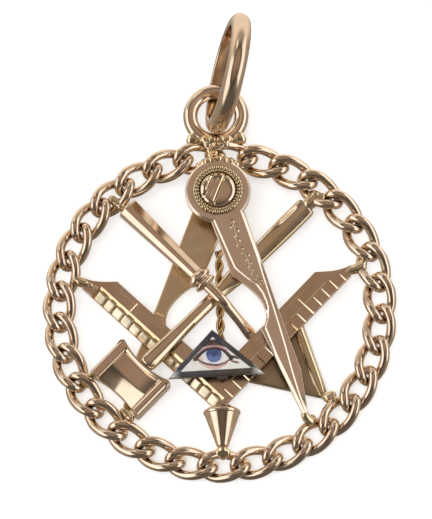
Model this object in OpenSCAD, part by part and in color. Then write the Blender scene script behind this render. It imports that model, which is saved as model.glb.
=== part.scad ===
// Openwork pendant of rose gold: a border of hooked curb links holds a pair of compasses,
// a set square, a trowel, a gavel, a plumb line and an enamelled eye. It lies face up, tipped
// a little because the hanging loop rests on the suspension ring, which stands on its edge.
// The border's plane is the drawing plane of every piece: x to the right, y up the pendant,
// z towards the viewer, with the border's centre as its origin.

/* [Border of links] */
// Radius of the border at the middle of its links
border_r = 13.37; // [13.34:0.01:13.42]
// Diameter of the link wire
link_wire = 0.74; // [0.6:0.01:0.75]
// Half the length of a link, at the middle of its wire
link_half_len = 1.87; // [1.84:0.01:1.88]
// Half the width of a link, at the middle of its wire
link_half_w = 1.02; // [0.98:0.01:1.04]
// Twist of a link from its middle to either end, in degrees
link_twist = 52; // [48:1:56]
// Fullness of a link's oval: 2 is an ellipse, more is squarer
link_fullness = 2.4; // [2.3:0.1:2.6]

/* [Hanging loop and suspension ring] */
// Diameter of the loop's wire
loop_wire = 1.20; // [1:0.05:1.25]
// Radius of the loop at the middle of its wire
loop_r = 2.15; // [2.1:0.05:2.3]
// Height of the loop's middle above the border's centre
loop_y = 16.95; // [16.9:0.05:17]
// Outer radius of the suspension ring
ring_r = 5.20; // [5.1:0.05:5.3]
// Thickness of the suspension ring, from its hole to its outside
ring_t = 1.17; // [1.1:0.01:1.2]
// Width of the suspension ring's band
ring_w = 1.42; // [1.3:0.01:1.5]
// Lean of the standing suspension ring to the right, in degrees
ring_lean = 10; // [8:0.5:11]
// Turn of the suspension ring away from the pendant's axis, in degrees
ring_turn = 9.7; // [8:0.1:11]

/* [Compasses] */
// Height of the pivot above the border's centre
pivot_y = 10.0; // [9.9:0.05:10]
// Length of a leg from the pivot to its point
leg_len = 20.45; // [20.2:0.05:20.5]
// Swing of the front leg from the pendant's axis, in degrees
front_leg_angle = 19.4; // [19:0.1:20]
// Swing of the rear leg from the pendant's axis, in degrees
rear_leg_angle = 23.2; // [23:0.1:23.6]
// Thickness of the front leg
front_leg_t = 0.58; // [0.5:0.01:0.6]
// Radius of the front leg's head
head_r = 2.73; // [2.6:0.01:2.8]
// Radius of the hinge boss on the rear leg
boss_r = 1.90; // [1.7:0.05:1.9]
// Outer radius of the beaded collar
bezel_r = 2.08; // [2:0.01:2.1]
// Radius of the screw cap
cap_r = 1.50; // [1.4:0.01:1.5]
// Height of the screw cap
cap_h = 0.62; // [0.5:0.01:0.7]
// Width of the slot in the screw cap
slot_w = 1.10; // [0.8:0.05:1.2]

/* [Set square] */
// Width of an arm
arm_w = 2.40; // [2.3:0.05:2.5]
// Thickness of the square
square_t = 0.50; // [0.4:0.05:0.5]
// Width of the graduated strip along the outer edge
strip_w = 1.12; // [1:0.02:1.2]
// Step of the graduation
tick_step = 1.0; // [0.9:0.05:1.1]
// Depth of the engraved lines
tick_depth = 0.08; // [0.05:0.01:0.1]

/* [Gavel] */
// Length of the head between its striking faces
gavel_len = 5.60; // [5.4:0.05:5.65]
// Width of the head along the handle
gavel_w = 4.30; // [4.2:0.05:4.4]
// Thickness of the head
gavel_t = 1.55; // [1.4:0.05:1.6]
// Depth of the waist on each side of the head
gavel_waist = 0.58; // [0.4:0.02:0.65]

/* [Trowel] */
// Thickness of the blade
blade_t = 0.50; // [0.4:0.05:0.5]

/* [Plumb line] */
// Diameter of the twisted line
line_d = 0.76; // [0.6:0.02:0.76]
// Largest radius of the bob
bob_r = 1.55; // [1.4:0.05:1.55]

/* [Eye] */
// Width of the silver rim round the enamel
rim_w = 0.50; // [0.4:0.05:0.6]
// Thickness of the setting
setting_t = 0.60; // [0.5:0.05:0.6]

/* [Hidden] */
$fn = 64;
link_count = 31;

gold = [0.78, 0.57, 0.42];
yellow_gold = [0.80, 0.64, 0.36];
dark_silver = [0.24, 0.24, 0.27];
enamel_white = [0.90, 0.88, 0.80];

// The joint between the first and the last link stands under the loop
joint_angle = 90.5;
link_step = 360 / link_count;
link_sides = 8;
link_rings = 20;

// Heights of the layers, from the back of the pendant to its front
gap = 0.03;
back_z = -0.75;
rear_leg_top = -0.25;
square_z = -0.20;
square_top = square_z + square_t;
boss_top = 0.86;
front_leg_z = 0.92;
front_leg_dip = 0.60;
gavel_z = -0.15;
bob_z = 0.80;
plate_z = 0.95;

// How the pendant lies: tipped about x, lifted on to the floor and centred on its own box
lying_tilt = 2.034;
lying_lift = 1.337;
ring_ahead = 0.50;
ring_x = 1.20;
dome_r = ring_w / 2;
dome_c = ring_r - dome_r;
ring_height = dome_c * cos(ring_lean) + dome_r;
loop_top_y = (loop_y + loop_r) * cos(lying_tilt);
ring_y = loop_top_y + ring_ahead;
border_outer_r = border_r + link_half_w + link_wire / 2;
// The bottom link leans and so stays this far inside the border's outer radius
bottom_link_in = 0.047;
origin_y = (ring_y + dome_c * cos(ring_turn) + dome_r - border_outer_r + bottom_link_in) / 2;

// Points that follow a rule
function spow(v, e) = sign(v) * pow(abs(v), e);
function unit(v) = v / norm(v);
function bezier(a, b, c, d, n) = [for (i = [0:n]) let (t = i / n)
    a * pow(1 - t, 3) + b * 3 * t * pow(1 - t, 2) + c * 3 * t * t * (1 - t) + d * pow(t, 3)];
function turned(p, deg) = [p.x * cos(deg) - p.y * sin(deg), p.x * sin(deg) + p.y * cos(deg)];
function mirrored(points) = [for (i = [len(points) - 1:-1:0]) [-points[i].x, points[i].y]];

// Middle line of a link, along the border, outwards and up, at t degrees round its oval
function link_at(t) =
    let (e = 2 / link_fullness,
         s = link_half_len * spow(cos(t), e),
         w = link_half_w * spow(sin(t), e),
         a = link_twist * s / link_half_len)
    [s, w * cos(a), w * sin(a)];

// Corners of the wire's section at t degrees round the link
function link_section(t) =
    let (p = link_at(t),
         a = link_twist * p.x / link_half_len,
         along = unit(link_at(t + 1) - link_at(t - 1)),
         side = unit(cross([0, -sin(a), cos(a)], along)),
         up = cross(along, side))
    [for (j = [0:link_sides - 1]) let (b = 360 * (j + 0.5) / link_sides)
        p + link_wire / 2 * (side * cos(b) + up * sin(b))];

// Closed tube through rings of corners, where the last ring joins the first
module closed_tube(rings) {
    n = len(rings);
    m = len(rings[0]);
    polyhedron(
        points = [for (ring = rings) each ring],
        faces = [for (i = [0:n - 1], j = [0:m - 1])
            let (a = i * m + j, b = i * m + (j + 1) % m,
                 c = ((i + 1) % n) * m + j, d = ((i + 1) % n) * m + (j + 1) % m)
            each [[a, c, b], [b, c, d]]]);
}

// Bar along x through sections of [distance, height, half width, half thickness]
module bar(sections, sides, first = 0) {
    n = len(sections);
    rings = [for (s = sections) each [for (j = [0:sides - 1])
        let (b = first + 360 * j / sides) [s[0], s[2] * cos(b), s[1] + s[3] * sin(b)]]];
    polyhedron(
        points = rings,
        faces = concat(
            [for (i = [0:n - 2], j = [0:sides - 1])
                let (a = i * sides + j, b = i * sides + (j + 1) % sides,
                     c = a + sides, d = b + sides)
                each [[a, b, c], [b, d, c]]],
            [for (j = [1:sides - 2]) [0, j + 1, j]],
            [for (j = [1:sides - 2]) let (z = (n - 1) * sides) [z, z + j, z + j + 1]]));
}

// Straight bar from one point of the drawing plane towards another
module bar_between(p, q, sections, sides, first = 0) {
    translate([p.x, p.y, 0])
        rotate([0, 0, atan2(q.y - p.y, q.x - p.x)])
            bar(sections, sides, first);
}

module lying() {
    translate([0, -origin_y, lying_lift])
        rotate([lying_tilt, 0, 0])
            children();
}

// Twisted oval link number k, counted anticlockwise from the loop
module border_link(k) {
    angle = joint_angle + link_step * (k - 0.5);
    color(gold)
        lying()
            rotate([0, 0, angle])
                translate([border_r, 0, 0])
                    rotate([0, 0, 90])
                        mirror([0, 1, 0])
                            closed_tube([for (i = [0:link_rings - 1])
                                [for (p = link_section(360 * (i + 0.5) / link_rings)) p]]);
}

// Round wire loop, seated in a hollow filed to the border's outside
module hanging_loop() {
    seat_r = border_outer_r + 0.04;
    color(gold)
        lying()
            difference() {
                translate([0, loop_y, 0])
                    rotate_extrude()
                        translate([loop_r, 0])
                            circle(d = loop_wire);
                translate([0, 0, -2])
                    cylinder(r = seat_r, h = 4, $fn = 180);
            }
}

// D-section ring on its edge: flat towards its hole, domed outside
module suspension_ring() {
    inner_r = ring_r - ring_t;
    color(gold)
        translate([ring_x, ring_y - origin_y, ring_height])
            rotate([0, 0, -ring_turn])
                rotate([0, ring_lean, 0])
                    rotate([0, 90, 0])
                        rotate_extrude()
                            intersection() {
                                union() {
                                    translate([dome_c, 0])
                                        circle(r = dome_r);
                                    translate([inner_r, -dome_r])
                                        square([dome_c - inner_r, ring_w]);
                                }
                                translate([inner_r, -ring_w])
                                    square([ring_t + 1, 2 * ring_w]);
                            }
}

// Outline of a leg that hangs down from its pivot, outer edge to the right
inner_w = 1.45;
shoulder_w = 1.47;
shoulder_y = 7.35;
step_w = 0.83;
step_y = 12.43;
outer_w = 1.15;
bend_y = 16.90;
root_w = 1.50;
root_y = 1.2;
function leg_outline() = concat(
    [[-inner_w, -root_y]],
    bezier([-shoulder_w, -shoulder_y], [0.35, -9.5], [0.65, -11.8], [-step_w, -step_y], 12),
    [[-0.15, -leg_len], [0.30, -leg_len], [1.07, -bend_y], [outer_w, -10.9],
     [1.27, -7.85], [root_w, -root_y]]);

module compass_rear_leg() {
    color(yellow_gold)
        lying()
            translate([0.05, pivot_y, back_z])
                union() {
                    rotate([0, 0, -rear_leg_angle])
                        mirror([1, 0, 0])
                            linear_extrude(rear_leg_top - back_z)
                                polygon(leg_outline());
                    cylinder(r = boss_r, h = boss_top - back_z);
                }
}

module on_front_leg() {
    lying()
        translate([0.05, pivot_y, front_leg_z])
            rotate([front_leg_dip, 0, 0])
                children();
}

module compass_front_leg() {
    color(gold)
        on_front_leg()
            union() {
                rotate([0, 0, front_leg_angle])
                    linear_extrude(front_leg_t)
                        polygon(leg_outline());
                cylinder(r = head_r, h = front_leg_t);
            }
}

// Collar of half-round section that carries the beads
module pivot_bezel() {
    bead_r = (bezel_r - cap_r - 2 * gap) / 2;
    color(gold)
        on_front_leg()
            translate([0, 0, front_leg_t + gap])
                rotate_extrude()
                    intersection() {
                        translate([bezel_r - bead_r, 0])
                            circle(r = bead_r);
                        translate([cap_r, 0])
                            square([1, 1]);
                    }
}

module pivot_cap() {
    ball_r = (cap_r * cap_r + cap_h * cap_h) / (2 * cap_h);
    slot_turn = -22;
    slot_depth = 0.22;
    color(gold)
        on_front_leg()
            translate([0, 0, front_leg_t + gap])
                difference() {
                    intersection() {
                        translate([0, 0, cap_h - ball_r])
                            sphere(r = ball_r);
                        cylinder(r = cap_r - gap, h = cap_h + 1);
                    }
                    rotate([0, 0, slot_turn])
                        translate([-slot_w / 2, -2, cap_h - slot_depth])
                            cube([slot_w, 4, 1]);
                }
}

// An arm's points along the arm and inwards, from the cut corner to the inner corner
square_corner = [-0.20, -8.80];
square_turn = 0.8;
corner_cut = 0.47;
arm_outer_len = 16.10;
arm_tip = [16.75, 0.62];
arm_inner_len = 14.28;
left_arm_shorter = 0.40;
function arm_points() = concat(
    [[arm_outer_len, 0]],
    bezier(arm_tip, [15.6, 1.0], [14.9, 1.8], [arm_inner_len, arm_w], 8));
function arm_side(shorter) = concat(
    [[corner_cut, corner_cut]],
    [for (p = arm_points()) turned(p - [shorter, 0], 45)]);
function square_outline() = concat(
    arm_side(0),
    [turned([arm_w, arm_w], 45)],
    mirrored(arm_side(left_arm_shorter)));

// V-shaped groove along x, its bottom on z = 0
module groove(length) {
    side = 2 * tick_depth / sqrt(2);
    rotate([45, 0, 0])
        cube([length, side, side]);
}

// Cuts of one arm: a long line beside the strip, short ticks and one long tick
module arm_cuts(long_tick) {
    line_start = 2.7;
    line_len = 10.8;
    first_tick = 3.3;
    tick_count = 12;
    overrun = 0.1;
    translate([line_start, strip_w, 0])
        groove(line_len);
    for (i = [0:tick_count - 1])
        translate([first_tick + i * tick_step, -overrun, 0])
            rotate([0, 0, 90])
                groove(overrun + (i == long_tick ? arm_w - 0.35 : strip_w - 0.15));
}

module set_square() {
    color(gold)
        lying()
            translate([square_corner.x, square_corner.y, square_z])
                rotate([0, 0, square_turn])
                    difference() {
                        linear_extrude(square_t)
                            polygon(square_outline());
                        translate([0, 0, square_t - tick_depth]) {
                            rotate([0, 0, 45])
                                arm_cuts(8);
                            mirror([1, 0, 0])
                                rotate([0, 0, 45])
                                    arm_cuts(9);
                        }
                    }
}

// The head's own axes: x between its striking faces, y towards the handle
gavel_middle = [-7.51, -5.95];
gavel_angle = -44.5;
function band_profile(w, h) = concat(
    [[0, 0], [w, 0]],
    [for (a = [0:15:180]) [w / 2 + w / 2 * cos(a), h - w / 2 + w / 2 * sin(a)]]);

module gavel_head() {
    band_w = 0.95;
    body_t = gavel_t - 0.18;
    waist_r = (gavel_len * gavel_len / 4 + gavel_waist * gavel_waist) / (2 * gavel_waist);
    color(gold)
        lying()
            translate([gavel_middle.x, gavel_middle.y, gavel_z])
                rotate([0, 0, gavel_angle])
                    difference() {
                        union() {
                            translate([-gavel_len / 2 + 0.1, -gavel_w / 2, 0])
                                cube([gavel_len - 0.2, gavel_w, body_t]);
                            for (x = [-gavel_len / 2, gavel_len / 2 - band_w])
                                translate([x, gavel_w / 2, 0])
                                    rotate([90, 0, 0])
                                        linear_extrude(gavel_w)
                                            polygon(band_profile(band_w, gavel_t));
                        }
                        for (side = [-1, 1])
                            translate([0, side * (gavel_w / 2 - gavel_waist + waist_r), -1])
                                cylinder(r = waist_r, h = gavel_t + 2, $fn = 180);
                    }
}

// Handle: slim beside the head, thicker in the grip, sinking from the front to the border
gavel_handle_start = [-6.24, -4.92];
gavel_handle_end = [7.52, 9.0];
module gavel_handle() {
    handle_len = norm(gavel_handle_end - gavel_handle_start);
    start_z = 1.0;
    end_z = -0.13;
    // Columns: distance, half width, half thickness
    shape = [[0, 0.46, 0.35], [0.15, 0.50, 0.37], [5.0, 0.54, 0.37], [9.1, 0.58, 0.38],
             [9.8, 0.66, 0.40], [10.6, 0.77, 0.40], [14.2, 0.83, 0.44], [17.4, 0.88, 0.47],
             [handle_len - 0.2, 0.84, 0.47], [handle_len, 0.76, 0.42]];
    color(yellow_gold)
        lying()
            bar_between(gavel_handle_start, gavel_handle_end,
                [for (s = shape)
                    [s[0], start_z + (end_z - start_z) * s[0] / handle_len, s[1], s[2]]],
                16);
}

// Handle, ferrule and cranked neck in one piece, on one straight line from the border
trowel_end = [-7.60, 8.95];
trowel_towards = [-1.08, 1.90];
module trowel_handle() {
    // Columns: distance, height, half width, half thickness
    shape = [[0, 0.45, 0.80, 0.78], [0.14, 0.46, 0.93, 0.90], [8.40, 1.24, 0.62, 0.62],
             [8.62, 1.28, 0.98, 0.80], [8.95, 1.29, 1.03, 0.84], [9.20, 1.30, 0.80, 0.70],
             [9.45, 1.32, 0.98, 0.74], [9.66, 1.36, 0.92, 0.60], [9.80, 1.39, 0.52, 0.45],
             [11.5, 1.38, 0.46, 0.42], [12.6, 0.92, 0.40, 0.38], [13.8, 0.17, 0.42, 0.32],
             [14.6, -0.36, 0.48, 0.27], [15.0, -0.49, 0.50, 0.25], [16.55, -0.50, 0.50, 0.25]];
    color(gold)
        lying()
            bar_between(trowel_end, trowel_towards, shape, 8, 22.5);
}

module trowel_blade() {
    color(yellow_gold)
        lying()
            translate([0, 0, back_z])
                linear_extrude(blade_t)
                    polygon([[1.35, -5.85], [8.86, -7.72], [8.93, -7.55], [6.62, -0.20]]);
}

// From the crotch of the compasses to the inner corner of the square
module plumb_line() {
    line_top = 5.25;
    line_bottom = -4.73;
    color(yellow_gold)
        lying()
            translate([0.05, line_top, back_z + line_d / 2])
                rotate([90, 0, 0])
                    cylinder(d = line_d, h = line_top - line_bottom);
}

// Turned bob: cap, groove, shoulder and cone, down to the border
module plumb_bob() {
    bob_top = -8.40;
    bob_len = 3.60;
    tip_r = 0.42;
    color(gold)
        lying()
            translate([0.03, bob_top, bob_z])
                rotate([90, 0, 0])
                    rotate_extrude()
                        polygon([[0, 0], [0.72, 0], [0.80, 0.08], [0.72, 0.20], [1.20, 0.28],
                                 [bob_r - 0.05, 0.44], [bob_r, 0.62], [bob_r - 0.06, 0.80],
                                 [tip_r + 0.08, bob_len - 0.12], [tip_r - 0.06, bob_len],
                                 [0, bob_len]]);
}

// Corners of the setting and the same triangle drawn in by a width
eye_corners = [[-4.41, -6.14], [3.68, -5.82], [-0.66, -2.05]];
function eye_inset(width) =
    let (c = eye_corners,
         a = norm(c[1] - c[2]), b = norm(c[2] - c[0]), d = norm(c[0] - c[1]),
         p = a + b + d,
         middle = (a * c[0] + b * c[1] + d * c[2]) / p,
         h = p / 2,
         inner_r = sqrt((h - a) * (h - b) * (h - d) / h))
    [for (q = c) middle + (q - middle) * (1 - width / inner_r)];

module eye_setting() {
    recess = 0.28;
    post_r = 0.50;
    color(dark_silver)
        lying()
            union() {
                difference() {
                    translate([0, 0, plate_z])
                        linear_extrude(setting_t)
                            polygon(eye_corners);
                    translate([0, 0, plate_z + setting_t - recess])
                        linear_extrude(1)
                            polygon(eye_inset(rim_w));
                }
                translate([0.13, -5.72, square_top + gap])
                    cylinder(r = post_r, h = plate_z - square_top - gap + 0.1);
            }
}

module enamel_plaque() {
    plaque_t = 0.27;
    color(enamel_white)
        lying()
            translate([0, 0, plate_z + setting_t - plaque_t + 0.02])
                linear_extrude(plaque_t)
                    polygon(eye_inset(rim_w + gap));
}

for (k = [1:link_count])
    border_link(k);
hanging_loop();
suspension_ring();
compass_rear_leg();
compass_front_leg();
pivot_bezel();
pivot_cap();
set_square();
gavel_head();
gavel_handle();
trowel_handle();
trowel_blade();
plumb_line();
plumb_bob();
eye_setting();
enamel_plaque();
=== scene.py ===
# %% [markdown]
# A pendant of rose gold lies on a pale table. Every piece is modelled in millimetres in the
# pendant's own plane, x to the right, y up and z towards the viewer, and is then laid down
# with one matrix. That keeps the numbers as easy to read as a goldsmith's drawing.

# %% Load the frame
import random
from math import atan2, copysign, cos, hypot, pi, radians, sin, sqrt

import bmesh
import bpy
from mathutils import Matrix, Vector
from mathutils.noise import noise


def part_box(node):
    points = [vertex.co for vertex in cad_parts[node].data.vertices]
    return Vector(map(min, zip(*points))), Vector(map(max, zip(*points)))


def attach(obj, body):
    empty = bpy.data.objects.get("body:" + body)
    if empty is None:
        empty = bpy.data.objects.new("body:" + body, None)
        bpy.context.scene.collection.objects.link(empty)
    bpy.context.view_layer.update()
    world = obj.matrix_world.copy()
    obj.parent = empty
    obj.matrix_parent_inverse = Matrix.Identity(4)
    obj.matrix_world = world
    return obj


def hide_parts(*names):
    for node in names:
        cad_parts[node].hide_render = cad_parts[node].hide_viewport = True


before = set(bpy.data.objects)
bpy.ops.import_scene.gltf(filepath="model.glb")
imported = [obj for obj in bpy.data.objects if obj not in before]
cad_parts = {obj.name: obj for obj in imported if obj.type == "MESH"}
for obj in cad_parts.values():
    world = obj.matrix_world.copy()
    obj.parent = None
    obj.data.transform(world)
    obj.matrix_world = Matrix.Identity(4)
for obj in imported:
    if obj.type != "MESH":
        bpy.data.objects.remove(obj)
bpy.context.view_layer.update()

# %% [markdown]
# The pendant is tipped a little, because its loop is propped up by the ring that stands on its
# edge. One matrix scales millimetres to metres, tips the drawing plane and lifts it on to the
# table. The border's centre is printed beside the one measured from the frame's own links.

# %% Lay the drawing plane down
MM = 0.001
LINK_COUNT, BORDER_R, LYING_TILT = 31, 13.37, 2.034


def spin(degrees, axis="Z"):
    return Matrix.Rotation(radians(degrees), 4, axis)


def moved(place, x, y, z):
    """A place moved along its own axes."""
    return place @ Matrix.Translation((x, y, z))


link_nodes = [f"link_{k + 1:02d}" for k in range(LINK_COUNT)]
border_centre = Vector((0.0, -5.0054, 1.337)) * MM
laid = Matrix.Translation(border_centre) @ spin(LYING_TILT, "X") @ Matrix.Scale(MM, 4)
measured = sum((sum(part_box(n), Vector()) / 2 for n in link_nodes), Vector()) / LINK_COUNT
print("Border's centre, named and measured:", border_centre / MM, measured / MM)


def linked(name, data):
    """A new object of the scene."""
    thing = bpy.data.objects.new(name, data)
    bpy.context.scene.collection.objects.link(thing)
    return thing


def new_piece(name, points, faces, material, place=laid):
    mesh = bpy.data.meshes.new(name)
    mesh.from_pydata([place @ Vector(p) for p in points], [], faces)
    mesh.materials.append(material)
    return linked(name, mesh)


# %% [markdown]
# The camera stands in front of the pendant and looks down at it steeply, through a long lens,
# as for a catalogue picture. Its lens follows from the picture's height at the pendant and the
# camera's distance.

# %% Set the camera
PICTURE_PX, CENTRE_PX, PX_PER_MM = (432, 519), (219.6, 310.3), 12.0
CAMERA_DISTANCE, CAMERA_ELEVATION, CAMERA_ROLL = 450 * MM, radians(72), 1.1
SENSOR_HEIGHT = 36

camera = linked("camera", bpy.data.cameras.new("camera"))
back = Vector((0, -cos(CAMERA_ELEVATION), sin(CAMERA_ELEVATION)))
facing = back.to_track_quat("Z", "Y").to_matrix().to_4x4() @ spin(-CAMERA_ROLL)
across = (PICTURE_PX[0] / 2 - CENTRE_PX[0]) / PX_PER_MM * MM
upwards = (CENTRE_PX[1] - PICTURE_PX[1] / 2) / PX_PER_MM * MM
aim = border_centre + facing.col[0].xyz * across + facing.col[1].xyz * upwards
camera.matrix_world = Matrix.Translation(aim + back * CAMERA_DISTANCE) @ facing
camera.data.sensor_fit = "VERTICAL"
camera.data.sensor_height = SENSOR_HEIGHT
camera.data.lens = SENSOR_HEIGHT * CAMERA_DISTANCE / (PICTURE_PX[1] / PX_PER_MM * MM)
camera.data.clip_start = 0.01
bpy.context.scene.camera = camera
print("Lens in millimetres:", round(camera.data.lens, 1))


# %% [markdown]
# The light, the metals and the repeated pieces are all trees of nodes. A Term is an output of a
# node that can stand in a formula, where every sign adds a Math node. The other helpers add
# the nodes that are used again and again.

# %% Helpers for node trees
class Term:
    """An output of a node, to write formulas with."""

    def __init__(self, socket):
        self.socket, self.tree = socket, socket.id_data

    def __add__(self, other):
        return calc("ADD", self, other)

    def __sub__(self, other):
        return calc("SUBTRACT", self, other)

    def __rsub__(self, other):
        return calc("SUBTRACT", other, self)

    def __mul__(self, other):
        return calc("MULTIPLY", self, other)

    def __truediv__(self, other):
        return calc("DIVIDE", self, other)

    def __rtruediv__(self, other):
        return calc("DIVIDE", other, self)


def tree_of(*values):
    return next(v.tree for v in values if isinstance(v, Term))


def feed(node, values):
    """Fills inputs of a node with numbers, colours or terms."""
    for key, value in values.items():
        if isinstance(value, Term):
            node.id_data.links.new(value.socket, node.inputs[key])
        else:
            node.inputs[key].default_value = value


def add(tree, kind, values=(), output=0, **settings):
    """Adds a node with its settings and inputs, and gives one of its outputs."""
    node = tree.nodes.new(kind)
    for key, value in settings.items():
        setattr(node, key, value)
    feed(node, dict(values))
    return Term(node.outputs[output]) if node.outputs else None


def calc(operation, *values):
    return add(tree_of(*values), "ShaderNodeMath", enumerate(values), operation=operation)


def ranged(value, low, high, to_low, to_high, **settings):
    """Maps one range of values on to another."""
    return add(value.tree, "ShaderNodeMapRange", {
        "Value": value, "From Min": low, "From Max": high, "To Min": to_low,
        "To Max": to_high}, **settings)


def mixed(factor, a, b, kind="MIX"):
    """Mix of two colours, each a value or a term."""
    a_b = {key: v if isinstance(v, Term) else (*v, 1) for key, v in ((6, a), (7, b))}
    return add(tree_of(factor, a, b), "ShaderNodeMix", {0: factor, **a_b}, output=2,
               data_type="RGBA", blend_type=kind)


def new_material(name):
    material = bpy.data.materials.new(name)
    material.use_nodes = True
    return material, material.node_tree, material.node_tree.nodes["Principled BSDF"]


# %% [markdown]
# Polished metal shows its surroundings more than its own colour, so the light is the finish's
# other half. The room is one world shader that answers by direction: a calm brown overhead for
# the flat faces, two large soft boxes low at the left and the right, which draw white stripes on
# what is round, dark gaps round the boxes that give the stripes their edge, and a table that
# runs on behind the pendant and turns the slopes that face away pale.

# %% Light the studio
ROOM_SIDE, TABLE_NEAR, TABLE_FAR = 0.42, 0.36, 1.05
SIDE_TINT, TOP_COLOUR = (1.0, 0.90, 0.78), (0.352, 0.266, 0.214)
BOX_COLOUR = (1.33, 1.32, 1.32)
LAMP_STRENGTH, LAMP_WIDTH = 1.35, radians(50)
FLOOR_SIZE, FLOOR_GLOW = 3.0, 0.50
# Columns: azimuth and half width, elevation and half height, in degrees; azimuth 0 is the
# camera's side and 90 the right
soft_boxes = [(-84, 36, 25, 20), (96, 42, 26, 17), (-152, 9, 38, 8)]


def eased(value, low, high, to_low, to_high):
    return ranged(value, low, high, to_low, to_high, interpolation_type="SMOOTHSTEP")


def window(angle, middle, half, soft):
    """1 within half of the middle and 0 outside it, with a soft edge."""
    away = calc("ABSOLUTE", angle - radians(middle))
    return eased(away, radians(half - soft), radians(half + soft), 1.0, 0.0)


def add_room():
    world = bpy.data.worlds.new("room")
    world.use_nodes = True
    bpy.context.scene.world = world
    tree = world.node_tree
    tree.nodes.clear()
    direction = add(tree, "ShaderNodeTexCoord", output="Generated")
    split = tree.nodes.new("ShaderNodeSeparateXYZ")
    feed(split, {0: direction})
    x, y, z = map(Term, split.outputs)
    azimuth, elevation = calc("ARCTAN2", x, y * -1.0), calc("ARCSINE", z)
    near = eased(z, -0.30, 0.05, TABLE_NEAR, ROOM_SIDE)
    far = eased(z, 0.10, 0.42, TABLE_FAR - ROOM_SIDE, 0.0) * eased(y, 0.30, 0.75, 0.0, 1.0)
    front = eased(y, -0.85, -0.30, 0.30, 1.0)
    gap = eased(elevation, radians(36), radians(50), 1.0, 0.28)
    side = mixed(1.0, (near + far) * (front * gap), SIDE_TINT, "MULTIPLY")
    overhead = mixed(1.0, eased(y, -0.55, 0.15, 0.50, 1.0), TOP_COLOUR, "MULTIPLY")
    room = mixed(eased(elevation, radians(52), radians(67), 0.0, 1.0), side, overhead)
    for middle, half, height, half_height in soft_boxes:
        box = window(azimuth, middle, half, 3) * window(elevation, height, half_height, 2)
        room = mixed(box, room, BOX_COLOUR)
    add(tree, "ShaderNodeOutputWorld",
        {"Surface": add(tree, "ShaderNodeBackground", {"Color": room})})


def add_lamp():
    """A wide lamp for the enamel and the table; the metal reflects the room alone."""
    lamp = linked("soft_lamp", bpy.data.lights.new("soft_lamp", "SUN"))
    lamp.data.energy, lamp.data.angle = LAMP_STRENGTH, LAMP_WIDTH
    lamp.rotation_euler = (radians(12), radians(-10), 0)
    lamp.visible_glossy = False


def add_floor():
    """A white table; polished metal reflects the room's own table, not this sheet."""
    material, tree, shader = new_material("pale_table")
    feed(shader, {"Base Color": (0.86, 0.86, 0.86, 1), "Roughness": 0.9,
                  "Specular IOR Level": 0.1, "Emission Color": (1, 1, 1, 1),
                  "Emission Strength": FLOOR_GLOW})
    corners = [(x * FLOOR_SIZE, y * FLOOR_SIZE, 0) for x, y in ((-1, -1), (1, -1), (1, 1), (-1, 1))]
    floor = new_piece("floor", corners, [(0, 1, 2, 3)], material, Matrix())
    floor.visible_glossy = False


add_room()
add_lamp()
add_floor()
view = bpy.context.scene.view_settings
view.view_transform = "Standard"
view.look = "None"

# %% [markdown]
# Worn gold isn't one flat colour. Its tint drifts a little with the alloy, soft scratches cross
# it, and its corners and gaps are painted brown, partly as tarnish where a cloth never reaches and
# partly as painted shade. Noise on Object coordinates gives the drift and the scratches, and
# ambient occlusion finds the corners that get the painted brown.

# %% Build the metal finishes
ROSE, ROSE_DEEP = (0.90, 0.74, 0.58), (0.86, 0.67, 0.50)
YELLOW, YELLOW_DEEP = (0.90, 0.77, 0.53), (0.83, 0.66, 0.41)
# Brown painted into corners and gaps: partly tarnish, partly painted shade
SHADE_AND_TARNISH_BROWN = (0.15, 0.085, 0.040)


def mapped_noise(tree, scale, detail=3.0, turn=0.0):
    """Noise in object space, by waves per metre along x, y and z, turned about z in radians."""
    coords = add(tree, "ShaderNodeTexCoord", output="Object")
    mapping = add(tree, "ShaderNodeMapping", {
        "Vector": coords, "Rotation": (0, 0, turn),
        "Scale": [1 / s for s in scale]}, vector_type="TEXTURE")
    return add(tree, "ShaderNodeTexNoise", {"Vector": mapping, "Scale": 1.0, "Detail": detail,
                                            "Roughness": 0.55}, output="Fac")


def bumped(height, strength, depth, **normal):
    """Normal of a surface with relief of a depth in millimetres."""
    return add(height.tree, "ShaderNodeBump", {"Height": height, "Strength": strength,
                                               "Distance": depth * MM, **normal})


def gold(name, colour, second, roughness, brush=None, brush_turn=0.0, shade_and_tarnish=0.75, reach=0.35):
    """Worn gold of two drifting tints; brush sets how strongly file marks show, and
    shade_and_tarnish and reach how dark the painted shade and tarnish in the corners are and how
    far it reaches."""
    material, tree, shader = new_material(name)
    drift = mapped_noise(tree, (420, 420, 420), 2.0)
    base = mixed(ranged(drift, 0.35, 0.65, 0, 1), colour, second)
    corner = add(tree, "ShaderNodeAmbientOcclusion", {"Distance": reach * MM}, output="AO",
                 samples=6)
    # Painted shade and tarnish: where ambient occlusion finds a corner or gap, the colour turns
    # brown
    base = mixed(ranged(corner, 0.25, 0.8, shade_and_tarnish, 0), base, SHADE_AND_TARNISH_BROWN)
    smudge = mapped_noise(tree, (900, 900, 900), 4.0)
    normal = bumped(mapped_noise(tree, (9000, 900, 3000), 2.0, 0.5), 0.10, 0.004)
    if brush:
        marks = mapped_noise(tree, (420, 9000, 4000), 3.0, brush_turn)
        normal = bumped(marks, brush, 0.012, Normal=normal)
    feed(shader, {"Base Color": base, "Metallic": 1.0, "Normal": normal,
                  "Roughness": ranged(smudge, 0.3, 0.7, roughness * 0.7, roughness * 1.5)})
    return material


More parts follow.
